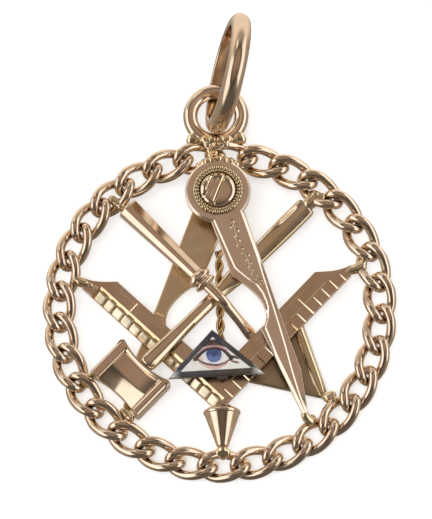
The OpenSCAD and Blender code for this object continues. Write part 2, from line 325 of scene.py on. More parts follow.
rose_gold = gold("rose_gold", ROSE, ROSE_DEEP, 0.11)
leg_plate = gold("leg_plate", (1.00, 0.85, 0.71), (0.97, 0.79, 0.62), 0.20, brush=0.25,
                 brush_turn=0.4)
square_plate = gold("square_plate", (0.80, 0.63, 0.49), (0.74, 0.56, 0.39), 0.20, brush=0.3,
                    brush_turn=0.8)
yellow_gold = gold("yellow_gold", YELLOW, YELLOW_DEEP, 0.12)
filed_plate = gold("filed_plate", YELLOW, YELLOW_DEEP, 0.24, brush=0.8, brush_turn=-0.9)
handle_gold = gold("handle_gold", (0.90, 0.73, 0.56), (0.84, 0.67, 0.42), 0.15, shade_and_tarnish=0.5)
# A paler copy of the yellow gold: painted light, so that the blocks look more brightly lit
block_gold = gold("block_gold", (1.00, 0.88, 0.67), (0.93, 0.78, 0.53), 0.26, shade_and_tarnish=0.5)
# Painted shade: a darker copy of the gold whose brown reaches 2.2 mm, so the blade is painted dark
# under the leg and the square
blade_gold = gold("blade_gold", (0.62, 0.54, 0.40), (0.54, 0.45, 0.30), 0.24, brush=0.8,
                  brush_turn=-0.9, shade_and_tarnish=0.95, reach=2.2)
# A darker copy of the rose gold: painted shade, so that the ring looks less brightly lit
ring_gold = gold("ring_gold", (0.82, 0.66, 0.51), (0.78, 0.60, 0.43), 0.15, shade_and_tarnish=0.35)
bead_gold = gold("bead_gold", YELLOW, YELLOW_DEEP, 0.14, shade_and_tarnish=0.45)
cap_gold = gold("cap_gold", ROSE, ROSE_DEEP, 0.10, shade_and_tarnish=0.35)
bright_cut = gold("bright_cut", (0.95, 0.84, 0.62), (0.90, 0.76, 0.50), 0.10, shade_and_tarnish=0.15)
yellow_cut = gold("yellow_cut", (0.92, 0.77, 0.50), (0.84, 0.67, 0.40), 0.12, shade_and_tarnish=0.15)
print("Materials so far:", [m.name for m in bpy.data.materials])


# %% [markdown]
# Most pieces are lofts: closed rings of points, joined one after the other and capped at both
# ends. A ring can be the section of a bar, the outline of a plate or the profile of a turned
# piece, so one function serves them all. A bevel then rounds the edges, because a real edge
# is never perfectly sharp and its thin glint is what makes metal look like metal.

# %% Make solids from rings
def turn_outward(piece):
    work = bmesh.new()
    work.from_mesh(piece.data)
    bmesh.ops.remove_doubles(work, verts=work.verts, dist=0.0005 * MM)
    bmesh.ops.recalc_face_normals(work, faces=work.faces)
    work.to_mesh(piece.data)
    work.free()
    return piece


def lofted(name, rings, material, closed=False, place=laid):
    n, m = len(rings), len(rings[0])
    faces = []
    for i in range(n if closed else n - 1):
        for j in range(m):
            k, l = (i + 1) % n, (j + 1) % m
            faces.append((i * m + j, i * m + l, k * m + l, k * m + j))
    if not closed:
        faces += [tuple(reversed(range(m))), tuple(range((n - 1) * m, n * m))]
    points = [p for ring in rings for p in ring]
    return turn_outward(new_piece(name, points, faces, material, place))


def circle(count):
    """Cosine and sine of even steps round a circle."""
    return [(cos(2 * pi * k / count), sin(2 * pi * k / count)) for k in range(count)]


def lathed(name, profile, material, place, count=96):
    """Turns a closed profile of (radius, height) about z."""
    rings = [[(r * c, r * s, h) for r, h in profile] for c, s in circle(count)]
    return lofted(name, rings, material, closed=True, place=place)


# %% [markdown]
# Rounding an edge, cutting a groove and joining two parts are each a modifier's or a mesh
# tool's work. Every one is baked at once, so that a piece is a plain mesh after each step.

# %% Finish, cut and join solids
def bake(piece):
    """Turns a piece and its modifiers into a plain mesh."""
    depsgraph = bpy.context.evaluated_depsgraph_get()
    mesh = bpy.data.meshes.new_from_object(piece.evaluated_get(depsgraph))
    piece.modifiers.clear()
    piece.data = mesh
    return piece


def modified(piece, kind, **settings):
    """Applies a modifier to a piece."""
    modifier = piece.modifiers.new(kind, kind)
    for key, value in settings.items():
        setattr(modifier, key, value)
    return bake(piece)


def shaded(piece, smooth=40):
    """Shades a piece smoothly up to an angle, with its large faces kept flat.

    The modifier weighs faces by their area, and takes areas as tiny as these in square metres
    for equal, so the piece is in millimetres meanwhile.
    """
    piece.data.transform(Matrix.Scale(1 / MM, 4))
    piece.data.shade_smooth()
    piece.data.set_sharp_from_angle(angle=radians(smooth))
    modified(piece, "WEIGHTED_NORMAL", keep_sharp=True, thresh=0.0)
    piece.data.transform(Matrix.Scale(MM, 4))
    return piece


def rounded(piece, width, segments=2, angle=25, smooth=40):
    """Rounds the edges that are sharper than angle."""
    modified(piece, "BEVEL", width=width * MM, segments=segments, limit_method="ANGLE",
             angle_limit=radians(angle))
    return shaded(piece, smooth)


def carved(piece, cutter, operation="DIFFERENCE"):
    """Cuts one piece with another, or joins them, and removes the second."""
    modified(piece, "BOOLEAN", operation=operation, solver="EXACT", use_self=True,
             material_mode="TRANSFER", object=cutter)
    bpy.data.objects.remove(cutter)
    return piece


def joined(name, *pieces):
    """Joins meshes into the first one; each keeps its own materials."""
    materials = list(dict.fromkeys(m for piece in pieces for m in piece.data.materials))
    work = bmesh.new()
    for piece in pieces:
        own = [materials.index(m) for m in piece.data.materials]
        for face in piece.data.polygons:
            face.material_index = own[face.material_index]
        work.from_mesh(piece.data)
    # Clearing the materials sets every face to the first one, so it comes before to_mesh
    pieces[0].data.materials.clear()
    for material in materials:
        pieces[0].data.materials.append(material)
    work.to_mesh(pieces[0].data)
    work.free()
    for piece in pieces[1:]:
        bpy.data.objects.remove(piece)
    pieces[0].name = name
    return pieces[0]


def keep(piece, slot, *nodes):
    """Hangs a finished piece on the frame and reports it."""
    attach(piece, "root")
    if nodes:
        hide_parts(*nodes)
    print(f"{piece.name}: {len(piece.data.polygons)} faces")


# %% [markdown]
# Outlines are marked out as on sheet metal: straight runs between measured points, a sweep
# where a corner is curved, and the same line again a little further in for a filed slope.

# %% Work out outlines and curves
def read_off(table, place):
    """Value at one place of a table of (place, value) rows, straight between the rows."""
    for (a, va), (b, vb) in zip(table, table[1:]):
        if place <= b:
            return va + (vb - va) * max(0.0, (place - a) / (b - a))
    return table[-1][1]


def bezier(a, b, c, d, count):
    a, b, c, d = map(Vector, (a, b, c, d))
    return [a * (1 - t) ** 3 + b * 3 * t * (1 - t) ** 2 + c * 3 * t * t * (1 - t) + d * t ** 3
            for t in (i / count for i in range(count + 1))]


def turned(points, degrees):
    return [Matrix.Rotation(radians(degrees), 2) @ Vector(p[:2]) for p in points]


def inset(points, width):
    """Moves each corner of an anticlockwise outline inwards by a width."""
    drawn_in = []
    for i, p in enumerate(points):
        before = (Vector(p) - Vector(points[i - 1])).normalized()
        after = (Vector(points[(i + 1) % len(points)]) - Vector(p)).normalized()
        a, b = Vector((-before.y, before.x)), Vector((-after.y, after.x))
        drawn_in.append(Vector(p) + (a + b) * (width / (1 + a.dot(b))))
    return drawn_in


# %% [markdown]
# Geometry Nodes make what repeats or follows a rule. Each tree is built here, with named
# inputs for its sizes, and is run once. What it makes is then kept as a plain mesh, because
# the export leaves live copies out.

# %% Helpers for geometry trees
SOCKET_KINDS = {int: "NodeSocketInt", float: "NodeSocketFloat", type(None): "NodeSocketMaterial"}


def new_tree(name, inputs):
    """A geometry tree with named inputs and their usual values."""
    tree = bpy.data.node_groups.new(name, "GeometryNodeTree")
    tree.is_modifier = True
    tree.interface.new_socket("Geometry", in_out="OUTPUT", socket_type="NodeSocketGeometry")
    for label, value in inputs.items():
        socket = tree.interface.new_socket(label, in_out="INPUT",
                                           socket_type=SOCKET_KINDS[type(value)])
        if value is not None:
            socket.default_value = value
    return tree, {s.name: Term(s) for s in tree.nodes.new("NodeGroupInput").outputs if s.name}


def xyz(x, y, z):
    return add(tree_of(x, y, z), "ShaderNodeCombineXYZ", {0: x, 1: y, 2: z})


def polar(radius, angle, height):
    return xyz(radius * calc("COSINE", angle), radius * calc("SINE", angle), height)


def tube(curve, sides, width, caps=False):
    """Round wire along a curve."""
    section = add(curve.tree, "GeometryNodeCurvePrimitiveCircle",
                  {"Resolution": sides, "Radius": width / 2.0})
    return add(curve.tree, "GeometryNodeCurveToMesh",
               {"Curve": curve, "Profile Curve": section, "Fill Caps": caps})


def close_tree(geometry, material):
    """Ends a tree: copies become real, faces are shaded smoothly and take the material."""
    tree = geometry.tree
    real = add(tree, "GeometryNodeRealizeInstances", {0: geometry})
    smooth = add(tree, "GeometryNodeSetShadeSmooth", {0: real})
    done = add(tree, "GeometryNodeSetMaterial", {0: smooth, "Material": material})
    add(tree, "NodeGroupOutput", {0: done})
    return tree


def grown(name, tree, values, place=laid):
    """Runs a geometry tree in millimetres and keeps what it makes as a plain mesh."""
    piece = linked(name, bpy.data.meshes.new(name))
    modifier = piece.modifiers.new(name, "NODES")
    modifier.node_group = tree
    for item in tree.interface.items_tree:
        if item.in_out == "INPUT" and item.name in values:
            modifier[item.identifier] = values[item.name]
    bake(piece).data.transform(place)
    return turn_outward(piece)


# %% [markdown]
# The border is a curb chain: every link is an oval of round wire, twisted so that it lies flat
# when hooked into the next. All 31 are alike, so Geometry Nodes make one link from its rule
# and set it out round the circle. Each copy is tipped by a hair, as hand work would be.

# %% Make the border
def link_tree():
    """A chain of twisted ovals, set out round a circle."""
    tree, given = new_tree("curb_border", {
        "Count": LINK_COUNT, "Border radius": BORDER_R, "First angle": radians(90.5),
        "Wire": 0.78, "Half length": 1.88, "Half width": 1.01, "Twist": radians(53),
        "Fullness": 2.4, "Rings": 64, "Sides": 18, "Tip": 0.012, "Seed": 4, "Material": None})
    index = add(tree, "GeometryNodeInputIndex")
    angle = index * (2 * pi) / given["Rings"]
    power = 2.0 / given["Fullness"]

    def full(part, half):
        return calc("SIGN", part) * calc("POWER", calc("ABSOLUTE", part), power) * half

    s = full(calc("COSINE", angle), given["Half length"])
    w = full(calc("SINE", angle), given["Half width"])
    twist = s * given["Twist"] / given["Half length"]
    oval = add(tree, "GeometryNodeSetPosition", {
        "Geometry": add(tree, "GeometryNodeCurvePrimitiveCircle",
                        {"Resolution": given["Rings"], "Radius": 1.0}),
        "Position": xyz(w * calc("COSINE", twist), s, w * calc("SINE", twist))})
    turn = given["First angle"] + (index + 0.5) * (2 * pi / given["Count"])
    points = add(tree, "GeometryNodePoints", {
        "Count": given["Count"], "Position": polar(given["Border radius"], turn, 0.0)})
    tip = add(tree, "FunctionNodeRandomValue",
              {"Seed": given["Seed"], 0: (-1, -1, -1), 1: (1, 1, 1)}, data_type="FLOAT_VECTOR")
    tipped = add(tree, "ShaderNodeVectorMath", {0: tip, "Scale": given["Tip"]},
                 operation="SCALE")
    rotation = add(tree, "ShaderNodeVectorMath", {0: tipped, 1: xyz(0.0, 0.0, turn)},
                   operation="ADD")
    copies = add(tree, "GeometryNodeInstanceOnPoints", {
        "Points": points, "Instance": tube(oval, given["Sides"], given["Wire"]),
        "Rotation": rotation})
    return close_tree(copies, given["Material"])


border = grown("border_links", link_tree(), {"Material": rose_gold})
keep(border, "rose_gold", *link_nodes)

# %% [markdown]
# The hanging loop is a ring of thick round wire. Where it sits on the border it was filed to
# fit, so its points are pushed out to the border's outer radius there. The suspension ring has
# a D-shaped section: flat towards its hole, domed outside, with softly rounded edges.

# %% Make the loop and the ring
LOOP_Y, LOOP_R, LOOP_WIRE, SEAT_R = 16.95, 2.15, 1.20, 14.72
RING_R, RING_T, RING_W, RING_EDGE = 5.20, 1.17, 1.62, 0.16
RING_CENTRE, RING_LEAN, RING_TURN = (1.11, 14.583, 5.10), 11.2, 11.0


def loop_point(c, s, around, height):
    """A point of the loop's surface, pushed out to the border where it would be inside."""
    r = LOOP_R + LOOP_WIRE / 2 * around
    p = Vector((r * s, LOOP_Y + r * c, 0))
    p *= max(1.0, SEAT_R / p.length)
    return p.x, p.y, LOOP_WIRE / 2 * height


loop_rings = [[loop_point(*turn, *part) for part in circle(28)] for turn in circle(96)]
keep(shaded(lofted("wire_loop", loop_rings, rose_gold, closed=True), 60),
     "rose_gold", "hanging_loop")

dome_r, inner_r = RING_W / 2, RING_R - RING_T
half_section = [(inner_r, 0.0), (inner_r, dome_r * 0.5)]
half_section += [(inner_r + RING_EDGE + RING_EDGE * cos(a), dome_r - RING_EDGE + RING_EDGE * sin(a))
                 for a in (pi - pi / 2 * i / 4 for i in range(5))]
half_section += [(RING_R - dome_r + dome_r * sin(a), dome_r * cos(a))
                 for a in (pi / 2 * i / 12 for i in range(13))]
section = half_section + [(r, -h) for r, h in reversed(half_section[1:-1])]
ring_place = (moved(Matrix.Scale(MM, 4), *RING_CENTRE) @ spin(-RING_TURN)
              @ spin(RING_LEAN + 90, "Y"))
keep(shaded(lathed("drop_ring", section, ring_gold, ring_place, 160)),
     "rose_gold", "suspension_ring")

# %% [markdown]
# A leg of the compasses is a flat bar with filed slopes along both sides, a shoulder and a
# long point. Its section changes all the way down, so it is described by tables that give
# the edge and the top of each slope at some distances from the pivot. The legs are mirror
# images, and the rear one is plainer, with narrow slopes and a small step at its waist.

# %% Make the front leg
PIVOT, LEG_LEN = (0.05, 10.0), 20.45
FRONT_Z, FRONT_T, FRONT_DIP, FRONT_ANGLE = 0.92, 0.58, 0.6, 19.4
HEAD_R, HEAD_RIM = 2.73, 0.17
inner_edge = ([(1.2, -1.45), (7.35, -1.47)]
              + [(-p.y, p.x) for p in bezier((-1.47, -7.35), (0.35, -9.5), (0.65, -11.8),
                                             (-0.83, -12.43), 16)][1:]
              + [(LEG_LEN, -0.15)])
outer_edge = [(1.2, 1.50), (7.85, 1.27), (10.9, 1.15), (16.9, 1.07), (LEG_LEN, 0.30)]
inner_slope = [(1.2, -1.20), (6.7, -0.95), (7.0, -0.84), (8.3, -0.10), (8.8, 0.26),
               (9.6, 0.47), (10.4, 0.50), (11.0, 0.43), (11.8, 0.10), (12.5, -0.38),
               (15.1, -0.33), (17.7, -0.12), (18.8, -0.03), (LEG_LEN, 0.06)]
outer_slope = [(1.2, 1.16), (6.5, 1.02), (8.6, 0.87), (11.15, 0.74), (14.2, 0.52),
               (16.55, 0.28), (18.7, 0.12), (LEG_LEN, 0.09)]
stations = sorted({d for d, _ in inner_edge + outer_edge + inner_slope + outer_slope}
                  | {3.0, 5.0, 13.4, 19.6})


def front_leg_ring(d, step=0.12, step_depth=0.08, slope_depth=0.05, edge=0.05):
    """Section of the leg: flat top, narrow bright step, shallow slope and chamfered edge."""
    left, right, slope_left, slope_right = (
        read_off(table, d) for table in (inner_edge, outer_edge, inner_slope, outer_slope))
    step_left = slope_left - min(step, (slope_left - left) * 0.6)
    step_right = slope_right + min(step, (right - slope_right) * 0.6)
    middle, low = FRONT_T - step_depth, FRONT_T - step_depth - slope_depth
    cut = min(edge, (right - left) / 8)
    return [(x, -d, z) for x, z in (
        (left, 0), (right, 0), (right, low - cut), (right - cut, low), (step_right, middle),
        (slope_right, FRONT_T), (slope_left, FRONT_T), (step_left, middle), (left + cut, low),
        (left, low - cut))]


pivot_place = moved(laid, *PIVOT, FRONT_Z) @ spin(FRONT_DIP, "X")
front_place = pivot_place @ spin(FRONT_ANGLE)
front_leg = lofted("front_leg", [front_leg_ring(d) for d in stations], leg_plate,
                   place=front_place)
head_rings = [[(r * c, r * s, z) for c, s in circle(96)]
              for r, z in ((HEAD_R, 0), (HEAD_R, FRONT_T - HEAD_RIM), (HEAD_R - HEAD_RIM, FRONT_T))]
carved(front_leg, lofted("compass_head", head_rings, leg_plate, place=pivot_place), "UNION")
print("Front leg and head joined:", len(front_leg.data.polygons), "faces")

# %% [markdown]
# The front leg carries a running ornament, a common one: small leaves on both sides of a thin
# waving stem, with dots between them. A graver leaves short cuts that are deep in the middle
# and thin at both ends, so every cut is a spindle laid along a line and taken away from the
# metal. A formula sets out the stem, and the leaves follow it at even steps.

# %% Engrave the front leg
STEM_FROM, STEM_TO, LEAF_STEP = 2.75, 8.75, 0.46
LEAF_LEN, LEAF_W, DOT_LEN, DOT_W, STEM_HALF = 0.46, 0.26, 0.13, 0.18, 0.055


def spindle(name, path, radii, sides=8):
    """A cutter of changing thickness along a path of equal height."""
    rings = []
    for i, (p, r) in enumerate(zip(path, radii)):
        a, b = path[max(i - 1, 0)], path[min(i + 1, len(path) - 1)]
        d = (Vector(b) - Vector(a)).normalized()
        side = Vector((-d.y, d.x, 0))
        rings.append([Vector(p) + side * r * c + Vector((0, 0, r * s)) for c, s in circle(sides)])
    return lofted(name, rings, bright_cut, place=front_place)


def stem_at(down):
    """Place of the stem across the leg at a distance from the pivot."""
    middle = read_off([(2.4, 0.02), (6.0, 0.10), (8.9, 0.52)], down)
    return middle + 0.13 * sin((down - STEM_FROM) * 2.3)


def stroke(x, y, length, degrees, width, bend=0.0):
    """A cut from a point in a direction, thick in its first half, a little bent."""
    path, radii = [], []
    for t in (k / 8 for k in range(9)):
        a = radians(degrees + bend * t)
        path.append((x + length * t * cos(a), y + length * t * sin(a), FRONT_T + 0.015))
        radii.append(width / 2 * (0.2 + 0.8 * sin(pi * t ** 0.7)))
    return spindle("stroke", path, radii)


draw = random.Random(11)
cuts, down, side = [], STEM_FROM, 1
while down < STEM_TO:
    x = stem_at(down)
    fade = 1.0 - 0.45 * (down - STEM_FROM) / (STEM_TO - STEM_FROM)
    turn = -90 + side * (52 + draw.uniform(-12, 12))
    cuts.append(stroke(x + side * 0.05, -down, LEAF_LEN * fade, turn, LEAF_W * fade,
                       bend=-side * 25))
    if draw.random() < 0.6:
        cuts.append(stroke(x - side * 0.26 * fade, -down - 0.05, DOT_LEN, -90, DOT_W * fade))
    down, side = down + LEAF_STEP * fade, -side
stem_path = [(stem_at(STEM_FROM + k * 0.15), -STEM_FROM - k * 0.15, FRONT_T + 0.02)
             for k in range(40)]
cuts.append(spindle("stem", stem_path, [STEM_HALF] * 40, 6))
print("Cuts of the ornament:", len(cuts))
for cut in cuts:
    carved(front_leg, cut)
keep(shaded(front_leg, 15), "rose_gold", "compass_front_leg")

# %% [markdown]
# The rear leg is left plain, and its gold is yellower. It reuses the tables of edges, mirrored,
# with narrow slopes and one small step at the waist. A round boss stands on it and fills the
# height up to the front leg.

# %% Make the rear leg
REAR_Z, REAR_T, REAR_ANGLE, REAR_STEP = -0.75, 0.50, 23.2, 11.25
BOSS_R, BOSS_TOP = 1.90, 0.86


def rear_leg_ring(d, slope=0.10, slope_depth=0.08, step_depth=0.10):
    left, right = read_off(inner_edge, d), read_off(outer_edge, d)
    narrow = min(slope, (right - left) / 3)
    top = REAR_T - (step_depth if d > REAR_STEP + 0.1 else 0)
    low = top - slope_depth
    return [(-x, -d, z) for x, z in ((left, 0), (right, 0), (right, low), (right - narrow, top),
                                     (left + narrow, top), (left, low))]


boss_place = moved(laid, *PIVOT, REAR_Z)
rear_rings = [rear_leg_ring(d) for d in sorted(set(stations) | {REAR_STEP, REAR_STEP + 0.25})]
rear_leg = lofted("rear_leg", rear_rings, filed_plate, place=boss_place @ spin(-REAR_ANGLE))
boss_h = BOSS_TOP - REAR_Z
boss = lathed("boss", [(0.001, 0), (BOSS_R, 0), (BOSS_R, boss_h), (0.001, boss_h)],
              filed_plate, boss_place, 64)
keep(rounded(joined("rear_leg", rear_leg, boss), 0.02, angle=20),
     "yellow_gold", "compass_rear_leg")

# %% [markdown]
# The pivot is a screw cap in a collar of tiny beads. The collar is a turned ring, and the
# beads are two rows of small spheres that Geometry Nodes set out round it.

# %% Make the pivot
BEZEL_R, CAP_R, CAP_H, CAP_FULLNESS = 2.08, 1.53, 0.60, 3.0
SLOT_TURN, SLOT_LINES, SLOT_W, SLOT_DEPTH = -22.5, (-0.95, 0.02), 0.22, 0.15


def bead_tree():
    """Small spheres round a circle, or in a row along x when Radius is 0."""
    tree, given = new_tree("bead_row", {
        "Count": 40, "Radius": 1.9, "Height": 0.7, "Bead": 0.3, "Step": 0.0,
        "Unevenness": 0.12, "Seed": 3, "Material": None})
    sphere = add(tree, "GeometryNodeMeshUVSphere",
                 {"Segments": 10, "Rings": 8, "Radius": given["Bead"] / 2.0})
    index = add(tree, "GeometryNodeInputIndex")
    turn = index * (2 * pi) / given["Count"]
    row = given["Step"] * (index - given["Count"] / 2.0)
    spot = xyz(given["Radius"] * calc("COSINE", turn) + row,
               given["Radius"] * calc("SINE", turn), given["Height"])
    points = add(tree, "GeometryNodePoints", {"Count": given["Count"], "Position": spot})
    size = add(tree, "FunctionNodeRandomValue", {
        "Seed": given["Seed"], 2: 1.0 - given["Unevenness"],
        3: calc("ADD", 1.0, given["Unevenness"])}, output=1, data_type="FLOAT")
    copies = add(tree, "GeometryNodeInstanceOnPoints",
                 {"Points": points, "Instance": sphere, "Scale": size})
    return close_tree(copies, given["Material"])


def dome(u, fullness):
    """Height of a dome from 1 in its middle to 0 at u = 1; more fullness makes it flatter."""
    return max(0.0, 1 - abs(u) ** fullness) ** (1 / fullness)


def cap_height(r):
    """Height of the screw's head: almost flat in the middle, round at its rim."""
    return CAP_H * dome(r / CAP_R, CAP_FULLNESS)


beads = bead_tree()
collar_profile = [(CAP_R + 0.06, 0.0)] + [
    (1.81 + 0.27 * cos(a), 0.04 + 0.17 * sin(a))
    for a in (radians(d) for d in range(180, -1, -20))] + [(BEZEL_R, 0.0)]
collar_place = moved(pivot_place, 0, 0, FRONT_T + 0.02)
collar = shaded(lathed("collar", collar_profile, bead_gold, collar_place), 60)
outer_row = grown("outer_row", beads, {"Count": 36, "Radius": 1.92, "Height": 0.18,
                                       "Bead": 0.36, "Material": bead_gold}, collar_place)
inner_row = grown("inner_row", beads, {"Count": 38, "Radius": 1.68, "Height": 0.20, "Seed": 8,
                                       "Bead": 0.27, "Material": bead_gold}, collar_place)
keep(joined("pivot_beads", collar, outer_row, inner_row), "rose_gold", "pivot_bezel")

# %% [markdown]
# The screw's head is almost flat in its middle and round at its rim. Its slot is two grooves
# left of the middle. They follow the dome, so both are equally deep all along, and a row of
# finer beads runs between them.

# %% Make the screw's cap
cap_profile = [(0.0002, 0.0), (CAP_R, 0.0)] + [
    (CAP_R * r, cap_height(CAP_R * r))
    for r in (0.998, 0.99, 0.975, 0.95, 0.92, 0.88, 0.83, 0.77, 0.7, 0.6, 0.5, 0.35, 0.2, 0.1)
] + [(0.0002, CAP_H)]
cap = shaded(lathed("screw_cap", cap_profile, cap_gold, collar_place, 72), 45)
slot_turn = collar_place @ spin(SLOT_TURN)
for x in SLOT_LINES:
    rings = [[(x + dx, y, cap_height(hypot(x + dx, y)) + dz)
              for dx, dz in ((-SLOT_W, SLOT_DEPTH), (SLOT_W, SLOT_DEPTH),
                             (0.7 * SLOT_W, -SLOT_DEPTH))]
             for y in (k / 8 - 1.5 for k in range(25))]
    carved(cap, lofted("line", rings, bright_cut, place=slot_turn))
shaded(cap, 20)
slot_place = moved(slot_turn, sum(SLOT_LINES) / 2 + 0.16, 0.12, CAP_H - 0.10) @ spin(90)
slot_row = grown("slot_row", beads, {
    "Count": 9, "Radius": 0.0, "Step": 0.2, "Bead": 0.13, "Height": 0.03, "Unevenness": 0.3,
    "Material": yellow_gold}, slot_place)
keep(joined("screw_cap", cap, slot_row), "rose_gold", "pivot_cap")

# %% [markdown]
# The set square is one plate with two arms. Its outer edges carry a graduated strip: a row of
# fine cuts on the right arm, and a channel with a row of small blocks on the left. These are
# bright cuts: the graver is held aslant, so one wall of each groove is a gentle polished slope
# that throws the light back at the eye.

# %% Make the set square
SQUARE_T, ARM_W, STRIP_W, LEFT_SHORTER = 0.50, 2.40, 1.12, 0.40
TICK_STEP, TICK_COUNT, LONG_TICK, LAST_TICK = 0.985, 15, 10, 14
CHANNEL_DEEP, CHANNEL_ENDS, BLOCK_COUNT = 0.42, (0.5, 14.55), 14
square_place = moved(laid, -0.20, -8.80, -0.20) @ spin(0.8)
right_arm = square_place @ spin(45)
left_arm = square_place @ Matrix.Scale(-1, 4, (1, 0, 0)) @ spin(45)


def arm_outline(shorter):
    """Corners of an arm, along the arm and inwards, turned into the square's own axes."""
    points = [(16.10, 0.0)] + bezier((16.75, 0.62), (15.6, 1.0), (14.9, 1.8), (14.28, ARM_W), 10)
    return [Vector((0.47, 0.47))] + turned([Vector(p) - Vector((shorter, 0)) for p in points], 45)


def plate(name, outline, material, thickness, place, slope=0.04):
    """Flat plate with a narrow filed slope round its upper edge."""
    rings = [[(*p, z) for p in line] for line, z in (
        (outline, 0), (outline, thickness - slope), (inset(outline, slope), thickness))]
    return lofted(name, rings, material, place=place)


def groove(start, end, widths):
    """Points of a cutter from start to end; its low line lies left of the stroke."""
    d = (Vector(end) - Vector(start)).normalized()
    points = []
    for p, width in zip((Vector(start), Vector(end)), widths):
        side, depth = Vector((-d.y, d.x)) * width, width * 0.57
        points += [(*(p - side), SQUARE_T + depth), (*(p + side), SQUARE_T + depth),
                   (*(p + side * 0.75), SQUARE_T - depth)]
    return points


def cut_grooves(piece, rows, place, material):
    """Cuts the grooves along an arm in a single Boolean, and then those across it."""
    for crossing in (False, True):
        points, faces = [], []
        for start, end, widths in (r for r in rows if (r[0][0] == r[1][0]) == crossing):
            faces += [tuple(len(points) + k for k in face) for face in
                      ((0, 2, 1), (3, 4, 5), (0, 1, 4, 3), (1, 2, 5, 4), (2, 0, 3, 5))]
            points += groove(start, end, widths)
        carved(piece, turn_outward(new_piece("cutter", points, faces, material, place)))


def channel_block(x, half_x, y_to, fall, y_from=0.02):
    """One block of the left strip: its top leans outwards and its corners are rounded."""
    rings = []
    for z, size in ((-CHANNEL_DEEP - 0.04, 1.0), (0.0, 1.0), (0.04, 0.96), (0.07, 0.88),
                    (0.08, 0.5)):
        ring = []
        for c, s in circle(20):
            u, v = copysign(abs(c) ** 0.45, c) * size, copysign(abs(s) ** 0.45, s) * size
            lean = fall * (1 - v) / 2 if z > -0.2 else 0
            ring.append((x + u * half_x, (y_from + y_to) / 2 + v * (y_to - y_from) / 2,
                         SQUARE_T + max(z - lean, -CHANNEL_DEEP - 0.03)))
        rings.append(ring)
    return shaded(lofted("block", rings, block_gold, place=left_arm), 60)


# Columns: start and end as distances along and across the arm, and the widths there
right_rows = [((0.9, STRIP_W), (14.2, STRIP_W), (0.07, 0.07)),
              ((2.9, ARM_W - 0.42), (12.6, ARM_W - 0.42), (0.05, 0.05))]
for i in range(TICK_COUNT):
    x = 1.74 + i * TICK_STEP
    deep = ARM_W - 0.55 if i == LONG_TICK else STRIP_W - (0.40 if i == LAST_TICK else 0.10)
    right_rows.append(((x, -0.15), (x, deep), (0.26, 0.10)))
left_rows = [((2.9, ARM_W - 0.45), (13.1, ARM_W - 0.45), (0.06, 0.06)),
             ((11.35, STRIP_W + 0.1), (11.35, ARM_W - 0.25), (0.17, 0.17))]
channel_section = [(-0.3, 0.1), (STRIP_W + 0.20, 0.1), (STRIP_W - 0.20, -0.16),
                   (STRIP_W - 0.20, -CHANNEL_DEEP), (-0.3, -CHANNEL_DEEP)]

outline = (arm_outline(0) + turned([(ARM_W, ARM_W)], 45)
           + [Vector((-p.x, p.y)) for p in reversed(arm_outline(LEFT_SHORTER))])
square = plate("set_square_plate", outline, square_plate, SQUARE_T, square_place)
cut_grooves(square, right_rows, right_arm, bright_cut)
cut_grooves(square, left_rows, left_arm, yellow_cut)
carved(square, lofted("channel", [[(x, y, SQUARE_T + z) for y, z in channel_section]
                                  for x in CHANNEL_ENDS], yellow_cut, place=left_arm))
rounded(square, 0.03, angle=50, smooth=25)
block_dice = random.Random(5)
blocks = [channel_block(1.1 + i * TICK_STEP, 0.475 * block_dice.uniform(0.84, 1.0),
                        0.84 * block_dice.uniform(0.86, 1.0), block_dice.uniform(0.40, 0.56))
          for i in range(BLOCK_COUNT)]
keep(joined("set_square_plate", square, *blocks), "yellow_gold", "set_square")

# %% [markdown]
# The gavel's head is one height field. Along its own x axis two half-round bands stand up at
# the striking ends; between them the face is dished and falls away to the lower edge, so that
# its lower corner mirrors the soft box at the left. Both long sides are drawn in to a waist,
# and a soft rim runs along the side of the handle.

# %% Make the gavel's head
GAVEL_LEN, GAVEL_W, GAVEL_T, GAVEL_WAIST, GAVEL_CORNER = 5.60, 4.30, 1.55, 0.58, 0.40
BAND_W, BAND_H, BAND_FULLNESS = 0.98, 0.45, {True: 2.0, False: 3.5}
FACE_Z, FACE_DISH, DISH_HALF, FALL_FROM, FALL, FALL_MORE = 1.28, 0.26, 1.9, 0.10, 0.74, 0.18
RIM_FROM, RIM_SLOPE, RIM_Z, RIM_H = 0.74, 0.16, GAVEL_T - 0.20, 0.17
GAVEL_STEPS = 44
gavel_place = moved(laid, -7.51, -5.95, -0.15) @ spin(-44.5)
waist_r = (GAVEL_LEN ** 2 / 4 + GAVEL_WAIST ** 2) / (2 * GAVEL_WAIST)


def gavel_half_width(x):
    """Half the head's width: drawn in to the waist, and rounded at the corners."""
    over = max(0.0, abs(x) - GAVEL_LEN / 2 + GAVEL_CORNER)
    return (GAVEL_W / 2 - GAVEL_WAIST + waist_r - sqrt(waist_r ** 2 - x ** 2)
            - GAVEL_CORNER + sqrt(max(0.0, GAVEL_CORNER ** 2 - over ** 2)))


def gavel_height(x, v):
    """Height of the face at x along the head and v across it, from -1 to 1 at the handle."""
    from_end = GAVEL_LEN / 2 - abs(x)
    below = max(0.0, -v - FALL_FROM)
    face = FACE_Z - FACE_DISH * (1 - (x / DISH_HALF) ** 2) - below * (FALL + FALL_MORE * below)
    if from_end < BAND_W:
        u = (from_end - BAND_W / 2) / (BAND_W / 2)
        band = GAVEL_T - BAND_H + BAND_H * dome(u, BAND_FULLNESS[x > 0])
        face = band if from_end < BAND_W / 2 else max(face, band)
    if v > RIM_FROM:
        face = max(face, RIM_Z + RIM_H * min(1.0, (v - RIM_FROM) / RIM_SLOPE))
    return face - 0.30 * max(0.0, (abs(v) - 0.97) / 0.03) ** 2


def gavel_ring(x):
    w = gavel_half_width(x)
    across = [sin(pi / 2 * (2 * k / GAVEL_STEPS - 1)) for k in range(GAVEL_STEPS + 1)]
    return [(x, w, 0.0), (x, -w, 0.0)] + [(x, v * w, gavel_height(x, v)) for v in across]


